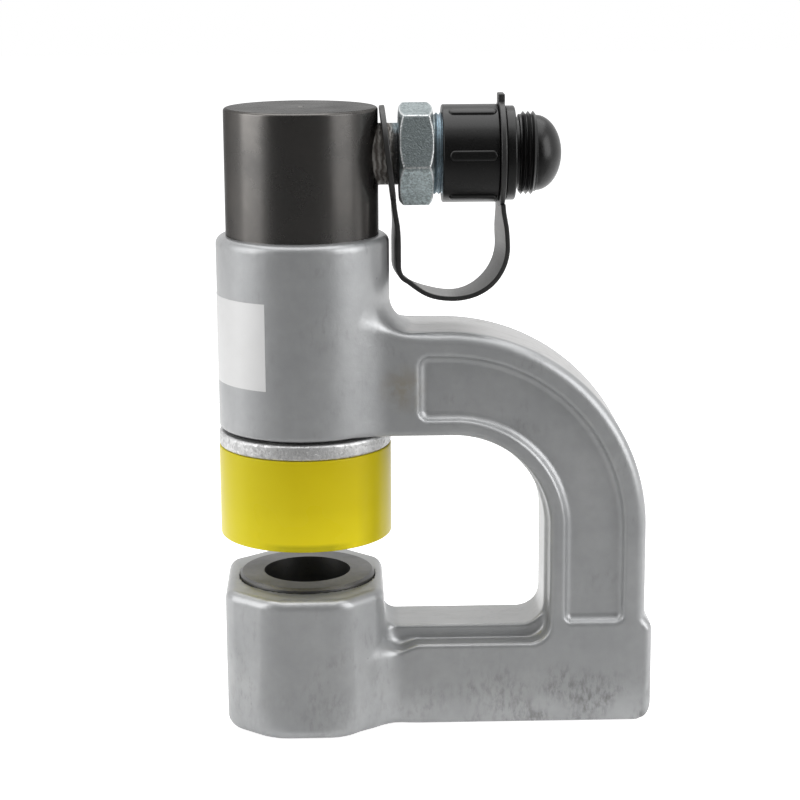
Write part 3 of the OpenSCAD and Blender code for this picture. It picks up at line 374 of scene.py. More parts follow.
def plated(name, dark, light, low_rough, high_rough, crystal, relief, tint=(1.0, 1.0, 1.0), painted_flat_light=(1.0, 1.0, 1.0)):
    """Zinc or bare steel: small crystals of many tones, stains, edges lightened as wear and painted highlight, and a
    rough skin of the given relief.

    The painted_flat_light values scale the tone of the hexagon's lower, middle and upper flats: painted light and shade
    that stands in for the light each flat gets from the lamps and the floor.
    """
    c = Coat(name, Metallic=0.9)
    cloud, speck = c.mottle(130.0, crystal)
    cells = c.put("TexVoronoi", {"Vector": c.place, "Scale": crystal})["Color"]
    facet = c.put("SeparateColor", {"Color": cells})[0]
    blend = c.plus(c.plus(c.times(cloud, 0.25), facet, 0.45), speck, 0.3)
    deep, pale, stain = (tuple(value * part for part in tint) + (1.0,) for value in (dark, light, dark * 0.5))
    c.base(blend, deep, pale)
    c.over(c.times(c.scratches(0.9, 330.0, 0.5), 0.5), stain)
    up = c.axes()["Z"]
    lower, middle, upper = painted_flat_light
    # Painted light and shade: the flats' tone is scaled by height, lower, middle and upper
    flat_light_scale = c.fit(up, (PORT_Z - 5.0) * MM, (PORT_Z - 3.4) * MM, lower, middle)
    flat_light_scale = c.times(flat_light_scale, c.fit(up, (PORT_Z + 14.8) * MM, (PORT_Z + 15.8) * MM, 1.0, upper / middle))
    c.tone = c.vector("SCALE", c.tone, Scale=flat_light_scale)[0]
    # Edges lightened towards pale grey: partly wear, partly a painted highlight on the hexagon's chamfers
    wear_and_glint = c.times(c.mark("worn_edge"), c.fit(speck, 0.35, 0.55, 0.25))
    c.over(c.times(wear_and_glint, 0.7), grey(0.85))
    return c.done(c.fit(blend, 0.2, 0.8, high_rough, low_rough), c.plus(speck, facet, 0.35), 0.5, relief)


def tape_thread():
    """Nipple thread wound with sealing tape: uneven turns across the axis, dark and brown in the hollows.

    Beyond the strap's ring the thread is bare, with the plate showing at its top and painted shade below that, nearly
    black, standing in for the ring's shadow.
    """
    c = Coat("taped_thread", Metallic=0.45)
    cloud, speck = c.mottle(230.0, 1100.0)
    turns = c.put("TexWave", {"Vector": c.place, "Scale": 150.0, "Distortion": 5.0, "Detail": 3.0,
                              "Detail Scale": 1.6}, wave_type="BANDS", bands_direction="X")["Fac"]
    c.base(turns, (0.10, 0.088, 0.076, 1.0), (0.38, 0.365, 0.345, 1.0))
    c.over(c.fit(cloud, 0.35, 0.9, 0.0, 0.75), (0.10, 0.09, 0.08, 1.0))
    xyz = c.axes()
    # Painted shade: past the ring the thread goes nearly black as the ring's shadow, with the plate's own tone at its
    # top
    shade_beyond_ring = c.mix(c.fit(xyz["Z"], 0.2355, 0.2375), (0.03, 0.033, 0.035, 1.0), (0.22, 0.28, 0.31, 1.0))
    c.over(c.times(c.fit(xyz["X"], 0.0345, 0.0365), c.fit(speck, 0.2, 0.6, 0.6)), shade_beyond_ring)
    return c.done(c.fit(speck, 0.3, 0.7, 0.62, 0.42), c.plus(turns, speck, 0.9), 0.7, 0.0005)


def die_steel():
    """Hardened dark steel, ground on its faces."""
    c = Coat("die_steel", Metallic=0.95)
    cloud, speck = c.mottle(90.0, 1300.0)
    c.base(cloud, grey(0.13, 0.0), grey(0.17, 0.01))
    c.over(c.fit(speck, 0.66, 0.72, 0.0, 0.5), grey(0.05))
    rings = c.group(LATHE, Scale=1500.0)["Height"]
    return c.done(c.fit(cloud, 0.0, 1.0, 0.42, 0.34), rings, 0.1, 0.00004)


def yellow_urethane():
    """Cast urethane: smooth, light passing a little way in; painted light towards its foot and left, painted shade
    towards its top and right, and a dark painted reflection of the die's bore along the middle of its foot.
    """
    c = Coat("yellow_urethane", Subsurface_Weight=0.2, Subsurface_Scale=0.006, Subsurface_Radius=(1.0, 0.8, 0.1),
             Coat_Weight=0.05, Coat_Roughness=0.06, IOR=1.45, Specular_IOR_Level=0.12)
    cloud, _ = c.mottle(16.0, 700.0)
    xyz = c.axes()
    c.base(cloud, (0.58, 0.475, 0.006, 1.0), (0.62, 0.52, 0.010, 1.0))
    # Painted light: lighter towards the foot
    c.over(c.fit(xyz["Z"], 0.092, 0.078, 0.0, 0.65), (0.74, 0.62, 0.012, 1.0))
    # Painted shade: darker towards the top, under the nut
    c.over(c.fit(xyz["Z"], 0.111, 0.088, 0.6, 0.0), (0.42, 0.33, 0.004, 1.0))
    # Painted reflection: a dark band along the middle of the foot, the die's bore mirrored there
    middle = c.fit(c.math("ABSOLUTE", xyz["X"]), 0.019, 0.010)
    c.over(c.times(middle, c.fit(xyz["Z"], 0.0792, 0.0778, 0.0, 0.55)), (0.24, 0.23, 0.004, 1.0))
    # Painted shade: darker on the right
    c.over(c.fit(xyz["X"], 0.020, 0.027, 0.0, 0.6), (0.36, 0.30, 0.006, 1.0))
    # Painted light: lighter on the left
    c.over(c.fit(xyz["X"], -0.004, -0.026, 0.0, 0.5), (0.70, 0.62, 0.025, 1.0))
    return c.done(c.fit(cloud, 0.0, 1.0, 0.27, 0.29), cloud, 0.05, 0.00004)


def moulded_black(name, tone_low, tone_high, low_rough, high_rough, grain, depth, gloss=0.34):
    """Black moulded plastic or rubber with a fine grain, some dust, and faces lightened by a mark that is partly dust
    and partly painted sheen.
    """
    c = Coat(name, Specular_IOR_Level=gloss)
    cloud, speck = c.mottle(90.0, grain)
    c.base(cloud, grey(tone_low, 0.01), grey(tone_high, 0.02))
    c.over(c.fit(speck, 0.62, 0.8, 0.0, 0.25), grey(tone_high * 3.0, 0.03))
    # Marked faces are lightened: partly dust, partly a painted sheen standing in for grazing reflections
    c.over(c.times(c.mark("rubbed_face"), c.fit(cloud, 0.0, 1.0, 0.8)), grey(0.32, 0.02))
    return c.done(c.fit(speck, 0.3, 0.7, low_rough, high_rough), speck, 0.25, depth)


def bare_label():
    """Blank silver foil label with a satin coat."""
    c = Coat("bare_label", Metallic=0.25, Coat_Weight=0.3, Coat_Roughness=0.2)
    cloud, speck = c.mottle(30.0, 2600.0)
    c.base(cloud, grey(0.60, 0.003), grey(0.66, 0.0))
    return c.done(c.fit(speck, 0.3, 0.7, 0.4, 0.48), speck, 0.1, 0.00002)


def machined(name, tone_low, tone_high, rough):
    """Plain turned metal of the hidden pieces, with lathe rings."""
    c = Coat(name, Metallic=1.0)
    rings = c.group(LATHE, Scale=2200.0)["Height"]
    c.base(rings, tone_low, tone_high)
    return c.done(c.fit(rings, 0.2, 0.8, rough + 0.06, rough - 0.04), rings, 0.15, 0.00005)


def seal_plastic():
    """Smooth seal material of the piston's rings."""
    c = Coat("seal_plastic")
    cloud, speck = c.mottle(60.0, 1200.0)
    c.base(cloud, (0.16, 0.2, 0.25, 1.0), (0.2, 0.25, 0.3, 1.0))
    return c.done(c.fit(speck, 0.3, 0.7, 0.4, 0.5))


FINISH = {
    "silver_paint": silver_paint(),
    "black_oxide": black_oxide(),
    "rough_zinc": plated("rough_zinc", 0.34, 0.8, 0.36, 0.6, 900.0, 0.0004),
    # The zinc plate's last values are painted light and shade on the hexagon's flats: lighter below, darker in the
    # middle
    "zinc_plate": plated("zinc_plate", 0.09, 0.42, 0.34, 0.6, 1500.0, 0.0003, (0.87, 1.0, 1.02), (2.1, 0.78, 1.15)),
    "zinc_thread": plated("zinc_thread", 0.38, 0.64, 0.34, 0.5, 1500.0, 0.0001, (0.84, 1.0, 1.1)),
    "taped_thread": tape_thread(),
    "tool_steel": die_steel(),
    "yellow_urethane": yellow_urethane(),
    "black_plastic": moulded_black("black_plastic", 0.003, 0.0042, 0.27, 0.35, 1700.0, 0.00004, 0.36),
    "strap_rubber": moulded_black("strap_rubber", 0.012, 0.02, 0.36, 0.46, 1100.0, 0.0001, 0.5),
    "black_rubber": moulded_black("black_rubber", 0.01, 0.015, 0.5, 0.6, 1400.0, 0.00005),
    "label": bare_label(),
    "ground_rod": machined("ground_rod", grey(0.55), grey(0.68), 0.2),
    "spring_steel": machined("spring_steel", grey(0.22), grey(0.3), 0.35),
    "bronze": machined("bronze", (0.42, 0.27, 0.11, 1.0), (0.55, 0.36, 0.16, 1.0), 0.32),
    "seal_plastic": seal_plastic(),
}


# ---- mesh helpers ----


def add_piece(name, mesh, finish, body, node=None):
    """Puts a mesh in the scene, riding on its body, in place of a node if one is given.

    Its one slot holds the finish's material.
    """
    piece = bpy.data.objects.new(name, mesh)
    scene.collection.objects.link(piece)
    mesh.materials.clear()
    mesh.materials.append(FINISH[finish])
    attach(piece, body)
    if node is not None:
        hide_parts(node)
    return piece


def mesh_from(name, points, faces=(), edges=()):
    """Mesh from points in millimetres."""
    mesh = bpy.data.meshes.new(name)
    mesh.from_pydata([tuple(MM * c for c in p) for p in points], edges, faces)
    mesh.update()
    return mesh


def path_mesh(name, points):
    """Chain of edges through points in millimetres."""
    return mesh_from(name, points, edges=[(k, k + 1) for k in range(len(points) - 1)])


def mark_sharp(mesh, degrees):
    """Smooth shading that keeps edges over an angle crisp."""
    mesh.polygons.foreach_set("use_smooth", [True] * len(mesh.polygons))
    mesh.set_sharp_from_angle(angle=radians(degrees))


def face_outwards(mesh, degrees):
    """Merges doubles, turns every face outwards and keeps edges over an angle crisp."""
    work = bmesh.new()
    work.from_mesh(mesh)
    bmesh.ops.remove_doubles(work, verts=work.verts, dist=1e-7)
    bmesh.ops.recalc_face_normals(work, faces=work.faces)
    work.to_mesh(mesh)
    work.free()
    mesh.update()
    mark_sharp(mesh, degrees)


def soften(corners, steps=5):
    """Outline with rounded right-angled corners: each corner is (along, radius, rounding)."""
    places = [np.array(corner[:2], float) for corner in corners]
    line = [tuple(places[0])]
    for before, here, after, (_, _, r) in zip(places, places[1:], places[2:], corners[1:]):
        back, on = ((place - here) / np.linalg.norm(place - here) for place in (before, after))
        centre = here + r * (back + on)
        angles = np.linspace(0.0, pi / 2, steps + 1) if r > 0 else [0.0]
        line += [tuple(centre - r * (on * cos(a) + back * sin(a))) for a in angles]
    return line + [tuple(places[-1])]


def skin(name, rings, degrees, capped=False):
    """Skin over rings of points, closed at both ends if capped."""
    n = len(rings[0])
    points = [point for ring in rings for point in ring]
    faces = [(row + k, row + n + k, row + n + (k + 1) % n, row + (k + 1) % n)
             for row in range(0, len(points) - n, n) for k in range(n)]
    if capped:
        faces += [tuple(range(n)), tuple(range(len(points) - n, len(points)))]
    mesh = mesh_from(name, points, faces)
    face_outwards(mesh, degrees)
    return mesh


def turned_mesh(name, line, axis, segments):
    """Surface turned from an outline of (along, radius) about Z, or about the coupler's axis along X."""
    angles = [2 * pi * k / segments for k in range(segments)]
    rings = []
    for along, r in line:
        ring = [(r * cos(a), r * sin(a)) for a in angles]
        rings.append([(along, u, v + PORT_Z) if axis == "X" else (u, v, along) for u, v in ring])
    return skin(name, rings, 38)


# ---- distance fields for the cast and forged pieces ----


def join_round(a, b, r):
    """Union of two fields with a hollow fillet."""
    u, v = np.maximum(r - a, 0), np.maximum(r - b, 0)
    return np.maximum(r, np.minimum(a, b)) - np.hypot(u, v)


def meet_round(a, b, r):
    """Intersection of two fields with a rounded edge."""
    u, v = np.maximum(r + a, 0), np.maximum(r + b, 0)
    return np.minimum(-r, np.maximum(a, b)) + np.hypot(u, v)


def corner_box(u, v, low, high, top_r, bottom_r):
    """Flat box whose two corners on the high-u side are rounded."""
    mid_u, mid_v = (low[0] + high[0]) / 2, (low[1] + high[1]) / 2
    pu, pv = u - mid_u, v - mid_v
    r = np.where(pu > 0, np.where(pv > 0, top_r, bottom_r), 0.0)
    qu = np.abs(pu) - (high[0] - low[0]) / 2 + r
    qv = np.abs(pv) - (high[1] - low[1]) / 2 + r
    return np.minimum(np.maximum(qu, qv), 0) + np.hypot(np.maximum(qu, 0), np.maximum(qv, 0)) - r


def ease(low, high, value):
    """Smooth step from 0 at low to 1 at high; low may be the greater one."""
    t = np.clip((value - low) / (high - low), 0, 1)
    return t * t * (3 - 2 * t)


def outer_outline(x, z):
    """Side outline of arm and upright, without the foot."""
    return corner_box(x, z, (FAR, DEEP), (POST_X, ARM_TOP_Z), ARM_R, 0.0)


def throat_outline(x, z):
    """Side outline of the opening between the wide flanges."""
    return corner_box(x, z, (FAR, LEDGE_Z), (WALL_X, ARM_LOW_Z), WALL_R, FLOOR_R)


def rim_outline(x, z):
    """Side outline of the opening inside the narrower rim."""
    return corner_box(x, z, (FAR, RIM_FLOOR_Z), (RIM_X, RIM_ROOF_Z), RIM_ROOF_R, RIM_FLOOR_R)


def block_field(x, ay, z):
    """Distance to the chamfered die block, whose upright edges grow rounder towards its foot."""
    reach = np.where(x < 0, BLOCK_OUT, BLOCK_IN)
    cut = np.where(x < 0, BLOCK_OUT_CUT, BLOCK_CUT)
    past_corner = (np.abs(x) - reach) * BLOCK_CUT + (ay - BLOCK_Y) * cut + cut * BLOCK_CUT
    edge = 3.8 + 2.2 * ease(34, 0, z)
    plan = meet_round(np.abs(x) - reach, past_corner / np.hypot(cut, BLOCK_CUT), edge)
    plan = meet_round(plan, ay - BLOCK_Y, edge)
    return meet_round(plan, z - BLOCK_Z, BLOCK_EDGE)


def casting_field(x, y, z):
    """Distance to the frame casting, with the soft edges and blends of a casting."""
    ay, radial = np.abs(y), np.hypot(x, y)
    on_wall = ease(86, 94, x)
    arm = outer_outline(x, z)
    foot = corner_box(x, z, (FAR, DEEP), (FOOT_X, FOOT_Z), FOOT_R, 0.0)
    outer = join_round(arm, foot, FOOT_FILLET)
    # The ledge in front of the rim drops beside the block
    throat = throat_outline(x, z + LEDGE_DROP * ease(45, 35, x) * ease(60, 45, z))
    middle_z, half_h = (BARREL_LOW_Z + BARREL_TOP_Z) / 2, (BARREL_TOP_Z - BARREL_LOW_Z) / 2
    barrel = meet_round(radial - BARREL_R, np.abs(z - middle_z) - half_h, 2.2 + ease(140, 170, z))
    plan = join_round(np.maximum(ay - HALF_W, -x), barrel, BARREL_FILLET)
    saddle = join_round(outer, np.maximum(radial - BARREL_R, z - SADDLE_TOP_Z), SADDLE_FILLET)
    body = np.minimum(barrel, meet_round(plan, saddle, 1.9 + 2.6 * ease(37, 56, radial)))
    body = meet_round(body, -throat, 1.5 + 0.9 * ease(38, 60, z) + 0.8 * on_wall)
    rim = meet_round(ay - RIM_HALF_W, -rim_outline(x, z), RIM_EDGE)
    rim = np.maximum(np.maximum(rim, outer + RIM_DEPTH), -x)
    body = join_round(body, rim, 0.7 + 2.4 * on_wall + 2.8 * ease(47, 38, x))
    body = join_round(body, block_field(x, ay, z), 5.0 + 6.0 * ease(40, 26, z))
    standing = corner_box(x, z, (FAR, 0.0), (FOOT_X, HIGH), 0.0, TOE_R)
    body = meet_round(body, standing, 0.8 + 2.6 * ease(45, 28, x))
    panel = np.maximum(arm + PANEL_OUT, PANEL_IN - throat)
    panel = meet_round(meet_round(panel, PANEL_X - x, PANEL_SIDE_R), PANEL_LOW_Z - z, PANEL_LOW_R)
    pocket = meet_round(panel - PANEL_SLOPE * (ay - HALF_W), PANEL_FLOOR - ay, PANEL_FILLET)
    body = meet_round(body, -pocket, PANEL_EDGE)
    for radius, low, high in HOLES:
        hole = np.maximum(radial - radius, np.maximum(z - high, low - z))
        body = meet_round(body, -hole, HOLE_EDGE)
    screw = np.maximum(np.hypot(x, z - SCREW_Z) - SCREW_R, -y)
    return meet_round(body, -screw, SCREW_EDGE)


def hexagon_sides(x, y, z):
    """Distances to the hexagon's flats, to its chamfers and from its axis."""
    w = z - PORT_Z
    radial = np.hypot(y, w)
    turns = [radians(HEX_TURN + 30.0 + 60.0 * k) for k in range(3)]
    flats = [np.abs(-y * cos(a) + w * sin(a)) - HEX_HALF for a in turns]
    sine, cosine = 0.5, 0.866
    cones = [(radial - HEX_HALF) * sine + way * (x - end) * cosine for end, way in ((THREAD_X, 1.0), (HEX_X, -1.0))]
    return flats, cones, radial


def hexagon_field(x, y, z):
    """Distance to the coupler's hexagon and the root of its thread."""
    flats, cones, radial = hexagon_sides(x, y, z)
    body = meet_round(meet_round(flats[0], flats[1], 0.5), flats[2], 0.5)
    body = meet_round(body, np.abs(x - (HEX_X + THREAD_X) / 2) - (THREAD_X - HEX_X) / 2, 0.3)
    for cone in cones:
        body = meet_round(body, cone, 0.35)
    root = np.maximum(radial - ROOT_R, np.maximum(x - COUPLER_END_X, THREAD_X - 2.0 - x))
    body = np.minimum(body, root)
    for radius, low, high in COUPLER_BORES:
        body = np.maximum(body, -np.maximum(radial - radius, np.maximum(low - x, x - high)))
    return body


def slope_of(field, points, step):
    """Gradient of a field at points, by central differences."""
    ways = step * np.eye(3)
    return np.stack([(field(*(points + d).T) - field(*(points - d).T)) / (2 * step) for d in ways], 1)


def unit(vectors):
    """Vectors of length 1."""
    return vectors / np.maximum(np.linalg.norm(vectors, axis=1), 1e-9)[:, None]


def field_mesh(name, field, low, high, cell, relaxed=None):
    """Mesh of a field's zero surface: quads from a grid, moved onto the surface, with the surface's own normals.

    Where the relaxed function gives 1, the normals are averaged over a wider reach, which softens the light
    on a crease. Returns the mesh and its points in millimetres.
    """
    low, high = np.array(low, float), np.array(high, float)
    counts = np.ceil((high - low) / cell).astype(int) + 1
    lines = [low[k] + cell * np.arange(counts[k]) for k in range(3)]
    x, y, z = np.meshgrid(*[line.astype(np.float32) for line in lines], indexing="ij")
    values = np.clip(field(x, y, z), -3 * cell, 3 * cell).astype(np.float32)
    grid = openvdb.FloatGrid(3 * cell)
    grid.copyFromArray(values)
    grid.transform = openvdb.createLinearTransform(voxelSize=cell)
    points, quads = grid.convertToQuads(0.0)
    points = np.asarray(points, float) + low
    quads = np.asarray(quads, int)
    for _ in range(4):
        slope = slope_of(field, points, 0.02)
        size = np.maximum((slope * slope).sum(1), 0.05)
        step = np.clip(field(*points.T) / size, -0.5 * cell, 0.5 * cell)
        points = points - step[:, None] * slope
    normals = unit(slope_of(field, points, 0.15 * cell))
    if relaxed is not None:
        share = relaxed(*points.T)[:, None]
        normals = unit((1 - share) * normals + share * slope_of(field, points, 2.6))
    a, b, c = (points[quads[:, k]] for k in (0, 1, 3))
    facing = (np.cross(b - a, c - a) * normals[quads[:, 0]]).sum(1)
    if np.median(facing) < 0:
        quads = quads[:, ::-1]
    mesh = bpy.data.meshes.new(name)
    mesh.from_pydata((points * MM).tolist(), [], quads.tolist())
    mesh.polygons.foreach_set("use_smooth", [True] * len(mesh.polygons))
    mesh.update()
    mesh.normals_split_custom_set_from_vertices([tuple(n) for n in normals])
    return mesh, points


def add_mark(mesh, name, values):
    """Writes a value per point, which a material reads."""
    mesh.attributes.new(name, "FLOAT", "POINT").data.foreach_set("value", values.astype(np.float32))


# ---- geometry node trees ----


def new_tree(name, inputs):
    """Geometry tree whose last input is the material."""
    return new_group(name, "Geometry", {**inputs, "Material": ""}, "Geometry")


def end_tree(net, inp, out, geometry):
    """Realizes the instances, sets the material and ends the tree."""
    real = net.put("GeometryNodeRealizeInstances", {"Geometry": geometry})[0]
    done = net.put("GeometryNodeSetMaterial", {"Geometry": real, "Material": inp["Material"]})[0]
    net.feed(out["Geometry"], done)
    return net.tree


def sweep(net, path, section):
    """Closed skin of a section moved along a path."""
    return net.put("GeometryNodeCurveToMesh", {"Curve": path, "Profile Curve": section, "Fill Caps": True})[0]


def thread_tree():
    """Helical ridge of a screw thread along X, from a spiral and a four-sided section."""
    net, inp, out = new_tree("screw_thread", {"Root Radius": 0.015, "Ridge Height": 0.001, "Ridge Width": 0.0018,
                                              "Turns": 4.0, "Length": 0.008, "Start": ORIGIN})
    spiral = net.put("GeometryNodeCurveSpiral", {
        "Resolution": 96, "Rotations": inp["Turns"], "Start Radius": inp["Root Radius"],
        "End Radius": inp["Root Radius"], "Height": inp["Length"]})[0]
    upright = net.put("GeometryNodeSetCurveNormal", {"Curve": spiral}, mode="Z_UP")[0]
    diamond = net.put("GeometryNodeCurvePrimitiveCircle", {"Resolution": 4, "Radius": 1.0})[0]
    half = net.times(inp["Ridge Width"], 0.5)
    size = net.put("CombineXYZ", {"X": inp["Ridge Height"], "Y": half, "Z": 1.0})[0]
    section = net.put("GeometryNodeTransform", {"Geometry": diamond, "Scale": size})[0]
    ridge = sweep(net, upright, section)
    laid = net.put("GeometryNodeTransform", {"Geometry": ridge, "Rotation": (0.0, pi / 2, 0.0),
                                             "Translation": inp["Start"]})[0]
    return end_tree(net, inp, out, laid)


def ring_tree():
    """Copies of a piece evenly round an axis along X."""
    net, inp, out = new_tree("copies_round_x", {"Geometry": None, "Count": 6, "Phase": 0.0, "Centre": ORIGIN})
    spots = net.put("GeometryNodeMeshLine", {"Count": inp["Count"], "Start Location": inp["Centre"],
                                             "Offset": ORIGIN})[0]
    share = net.math("DIVIDE", net.put("GeometryNodeInputIndex")[0], inp["Count"])
    turn = net.plus(inp["Phase"], share, 2 * pi)
    spin = net.put("FunctionNodeEulerToRotation", {0: net.put("CombineXYZ", {"X": turn})[0]})[0]
    one = net.put("GeometryNodeGeometryToInstance", {0: inp["Geometry"]})[0]
    copies = net.put("GeometryNodeInstanceOnPoints", {"Points": spots, "Instance": one, "Rotation": spin})[0]
    return end_tree(net, inp, out, copies)


def band_tree():
    """Flat band with soft edges swept along a path, its width along the path's band_across vectors."""
    net, inp, out = new_tree("swept_band", {"Geometry": None, "Width": 0.018, "Thickness": 0.0022,
                                            "Edge Radius": 0.0005})
    path = net.put("GeometryNodeMeshToCurve", {"Mesh": inp["Geometry"]})[0]
    across = net.put("GeometryNodeInputNamedAttribute", {"Name": "band_across"}, data_type="FLOAT_VECTOR")[0]
    level = net.put("GeometryNodeSetCurveNormal", {"Curve": path, "Normal": across}, mode="FREE")[0]
    flat = net.put("GeometryNodeCurvePrimitiveQuadrilateral", {"Width": inp["Width"], "Height": inp["Thickness"]})[0]
    soft = net.put("GeometryNodeFilletCurve", {"Curve": flat, "Radius": inp["Edge Radius"], "Count": 3}, mode="POLY")[0]
    return end_tree(net, inp, out, sweep(net, level, soft))


def wire_tree():
    """Round wire swept along a path."""
    net, inp, out = new_tree("swept_wire", {"Geometry": None, "Radius": 0.001})
    path = net.put("GeometryNodeMeshToCurve", {"Mesh": inp["Geometry"]})[0]
    circle = net.put("GeometryNodeCurvePrimitiveCircle", {"Resolution": 16, "Radius": inp["Radius"]})[0]
    return end_tree(net, inp, out, sweep(net, path, circle))


def grow(name, tree, seed, **sizes):
    """Runs a geometry tree on a seed mesh and returns the result as a plain mesh."""
    holder = bpy.data.objects.new(name + "_seed", seed)
    scene.collection.objects.link(holder)
    modifier = holder.modifiers.new("grow", "NODES")
    modifier.node_group = tree
    for item in tree.interface.items_tree:
        label = item.name.replace(" ", "_")
        if item.in_out == "INPUT" and label in sizes:
            modifier[item.identifier] = sizes[label]
    holder.update_tag()
    bpy.context.view_layer.update()
    graph = bpy.context.evaluated_depsgraph_get()
    mesh = bpy.data.meshes.new_from_object(holder.evaluated_get(graph), depsgraph=graph)
    mesh.name = name
    holder.modifiers.remove(modifier)
    bpy.data.objects.remove(holder)
    return mesh


THREAD = thread_tree()
RING = ring_tree()
BAND = band_tree()
WIRE = wire_tree()


# ---- pieces ----


def add_thread(name, root, height, pitch, start, length, finish, body):
    """Thread ridge on the coupler's axis; sizes in millimetres."""
    mesh = grow(name, THREAD, bpy.data.meshes.new(name + "_seed"), Root_Radius=root * MM, Ridge_Height=height * MM,
                Ridge_Width=pitch * 0.96 * MM, Turns=length / pitch, Length=length * MM,
                Start=(start * MM, 0.0, PORT_Z * MM), Material=FINISH[finish])
    face_outwards(mesh, 30)
    add_piece(name, mesh, finish, body)


def by_saddle(x, y, z):
    """Mark of the place where the arm's upper edges run into the barrel."""
    spot_x, spot_y, spot_z = 29.0, 21.0, 161.0
    away = np.sqrt((x - spot_x) ** 2 + (np.abs(y) - spot_y) ** 2 + (z - spot_z) ** 2)
    return 1 - ease(8.0, 15.0, away)


def cast_frame():
    """The frame casting with its soft edges, and a mark on the lands that are ground flat."""
    mesh, points = field_mesh("cast_frame", casting_field, (-37, -42, -3), (141, 42, 200), 1.1, by_saddle)
    x, y, z = points.T
    on_outer = 1 - ease(0.25, 1.0, np.abs(outer_outline(x, z)))
    land = on_outer * (1 - ease(15.0, 16.5, np.abs(y))) * ease(36, 41, x) * ease(41, 47, z)
    land = land * (0.6 + 0.4 * ease(100, 150, z))
    on_rim = 1 - ease(0.2, 0.8, np.abs(rim_outline(x, z)))
    rim_land = on_rim * (1 - ease(11.5, 12.6, np.abs(y))) * ease(34, 38, x)
    add_mark(mesh, "ground_land", np.maximum(land, 0.45 * rim_land))
    add_piece("cast_frame", mesh, "silver_paint", "frame", node="frame_casting")


def label():
    """Blank foil label wrapped round the barrel's front and left."""
    inner, outer, low, high = BARREL_R - 0.1, BARREL_R + 0.14, 139.4, 173.4
    section = ((inner, low), (outer, low), (outer, high), (inner, high))
    start, end, columns = -115.0, -193.0, 48
    rings = []
    for k in range(columns + 1):
        a = radians(start + (end - start) * k / columns)
        rings.append([(radius * cos(a), radius * sin(a), z) for radius, z in section])
    add_piece("bare_label", skin("bare_label", rings, 30, capped=True), "label", "frame")


def stripper_sleeve():
    """Urethane sleeve on the ram, one rigid turned mesh, though on the tool it shortens as the ram presses it on the
    work.
    """
    line = soften([(STRIPPER_LOW_Z, STRIPPER_BORE_R, 0.0), (STRIPPER_LOW_Z, STRIPPER_R, 0.9),
                   (STRIPPER_TOP_Z, STRIPPER_R, 0.6), (STRIPPER_TOP_Z, STRIPPER_SEAT_R, 0.3),
                   (STRIPPER_SEAT_Z, STRIPPER_SEAT_R, 0.2), (STRIPPER_SEAT_Z, STRIPPER_BORE_R, 0.2),
                   (STRIPPER_LOW_Z, STRIPPER_BORE_R, 0.0)])
    mesh = turned_mesh("stripper_sleeve", line, "Z", 192)
    piece = add_piece("stripper_sleeve", mesh, "yellow_urethane", "ram", node="stripper")
    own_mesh(piece)


def coupler_half():
    """Forged hexagon whose edges are marked for wear and painted highlight, and its thread."""
    mesh, points = field_mesh("coupler_hexagon", hexagon_field, (36.0, -22, PORT_Z - 22), (67.2, 22, PORT_Z + 22), 0.42)
    flats, cones, radial = hexagon_sides(*points.T)
    ranked = np.sort(np.stack(flats + cones), axis=0)
    add_mark(mesh, "worn_edge", (1 - ease(0.1, 0.6, ranked[-1] - ranked[-2])) * ease(17.0, 17.6, radial))
    add_piece("coupler_hexagon", mesh, "zinc_plate", "frame", node="coupler_body")
    add_thread("coupler_thread", 15.05, 0.92, 1.6, THREAD_X + 0.7, 13.4, "zinc_thread", "frame")


def rib_mesh():
    """One grip rib with round ends, laid on the skirt about the axis at the origin."""
    half_w, steps, rings = 2.1, 10, []
    left, right = SKIRT_X + 2.4 + half_w, SKIRT_END_X - 0.8 - half_w
    for inset, height in ((0.0, -0.4), (0.0, 0.08), (0.18, 0.38), (0.55, 0.62), (1.1, 0.7)):
        r, radius = half_w - inset, SKIRT_R + height
        outline = [(middle + r * cos(t), r * sin(t) / SKIRT_R)
                   for middle, turn in ((left, pi / 2), (right, -pi / 2))
                   for t in np.linspace(turn, turn + pi, steps)]
        rings.append([(x, -radius * cos(a), radius * sin(a)) for x, a in outline])
    return skin("grip_rib", rings, 50, capped=True)


def dust_cap():
    """Dust cap: skirt, groove, flange, stub and dome turned as one, with its ribs and the stub's thread."""
    floor_x, floor_r, step_x = 68.5, 16.8, 63.0
    rise, angles = CAP_TIP_X - DOME_X, np.linspace(0.0, pi / 2, 24)
    dome = [(DOME_X + rise * sin(t), max(DOME_R * cos(t), 0.0)) for t in angles[1:]]
    outline = [(floor_x, 0.0, 0.0), (floor_x, floor_r, 0.0), (step_x, floor_r, 0.0), (step_x, SKIRT_BORE_R, 0.0),
               (SKIRT_X, SKIRT_BORE_R, 0.4), (SKIRT_X, SKIRT_R, 0.7), (SKIRT_END_X, SKIRT_R, 0.4),
               (SKIRT_END_X, GROOVE_R, 0.2), (FLANGE_X, GROOVE_R, 0.2), (FLANGE_X, FLANGE_R, 0.5),
               (NECK_X, FLANGE_R, 0.7), (NECK_X, NECK_R, 0.3), (STUB_X, NECK_R, 0.2), (STUB_X, STUB_R, 0.3),
               (DOME_X, STUB_R, 0.3), (DOME_X, DOME_R, 0.0)]
    mesh = turned_mesh("dust_cap_shell", soften(outline) + dome, "X", 144)
    add_piece("dust_cap_shell", mesh, "black_plastic", "dust_cap", node="dust_cap")
    ribs = grow("dust_cap_ribs", RING, rib_mesh(), Count=6, Phase=radians(-3.0), Centre=(0.0, 0.0, PORT_Z * MM),
                Material=FINISH["black_plastic"])
    add_piece("dust_cap_ribs", ribs, "black_plastic", "dust_cap")
    add_thread("dust_cap_thread", STUB_R - 0.05, 1.2, 1.95, STUB_X + 0.95, 5.75, "black_plastic", "dust_cap")


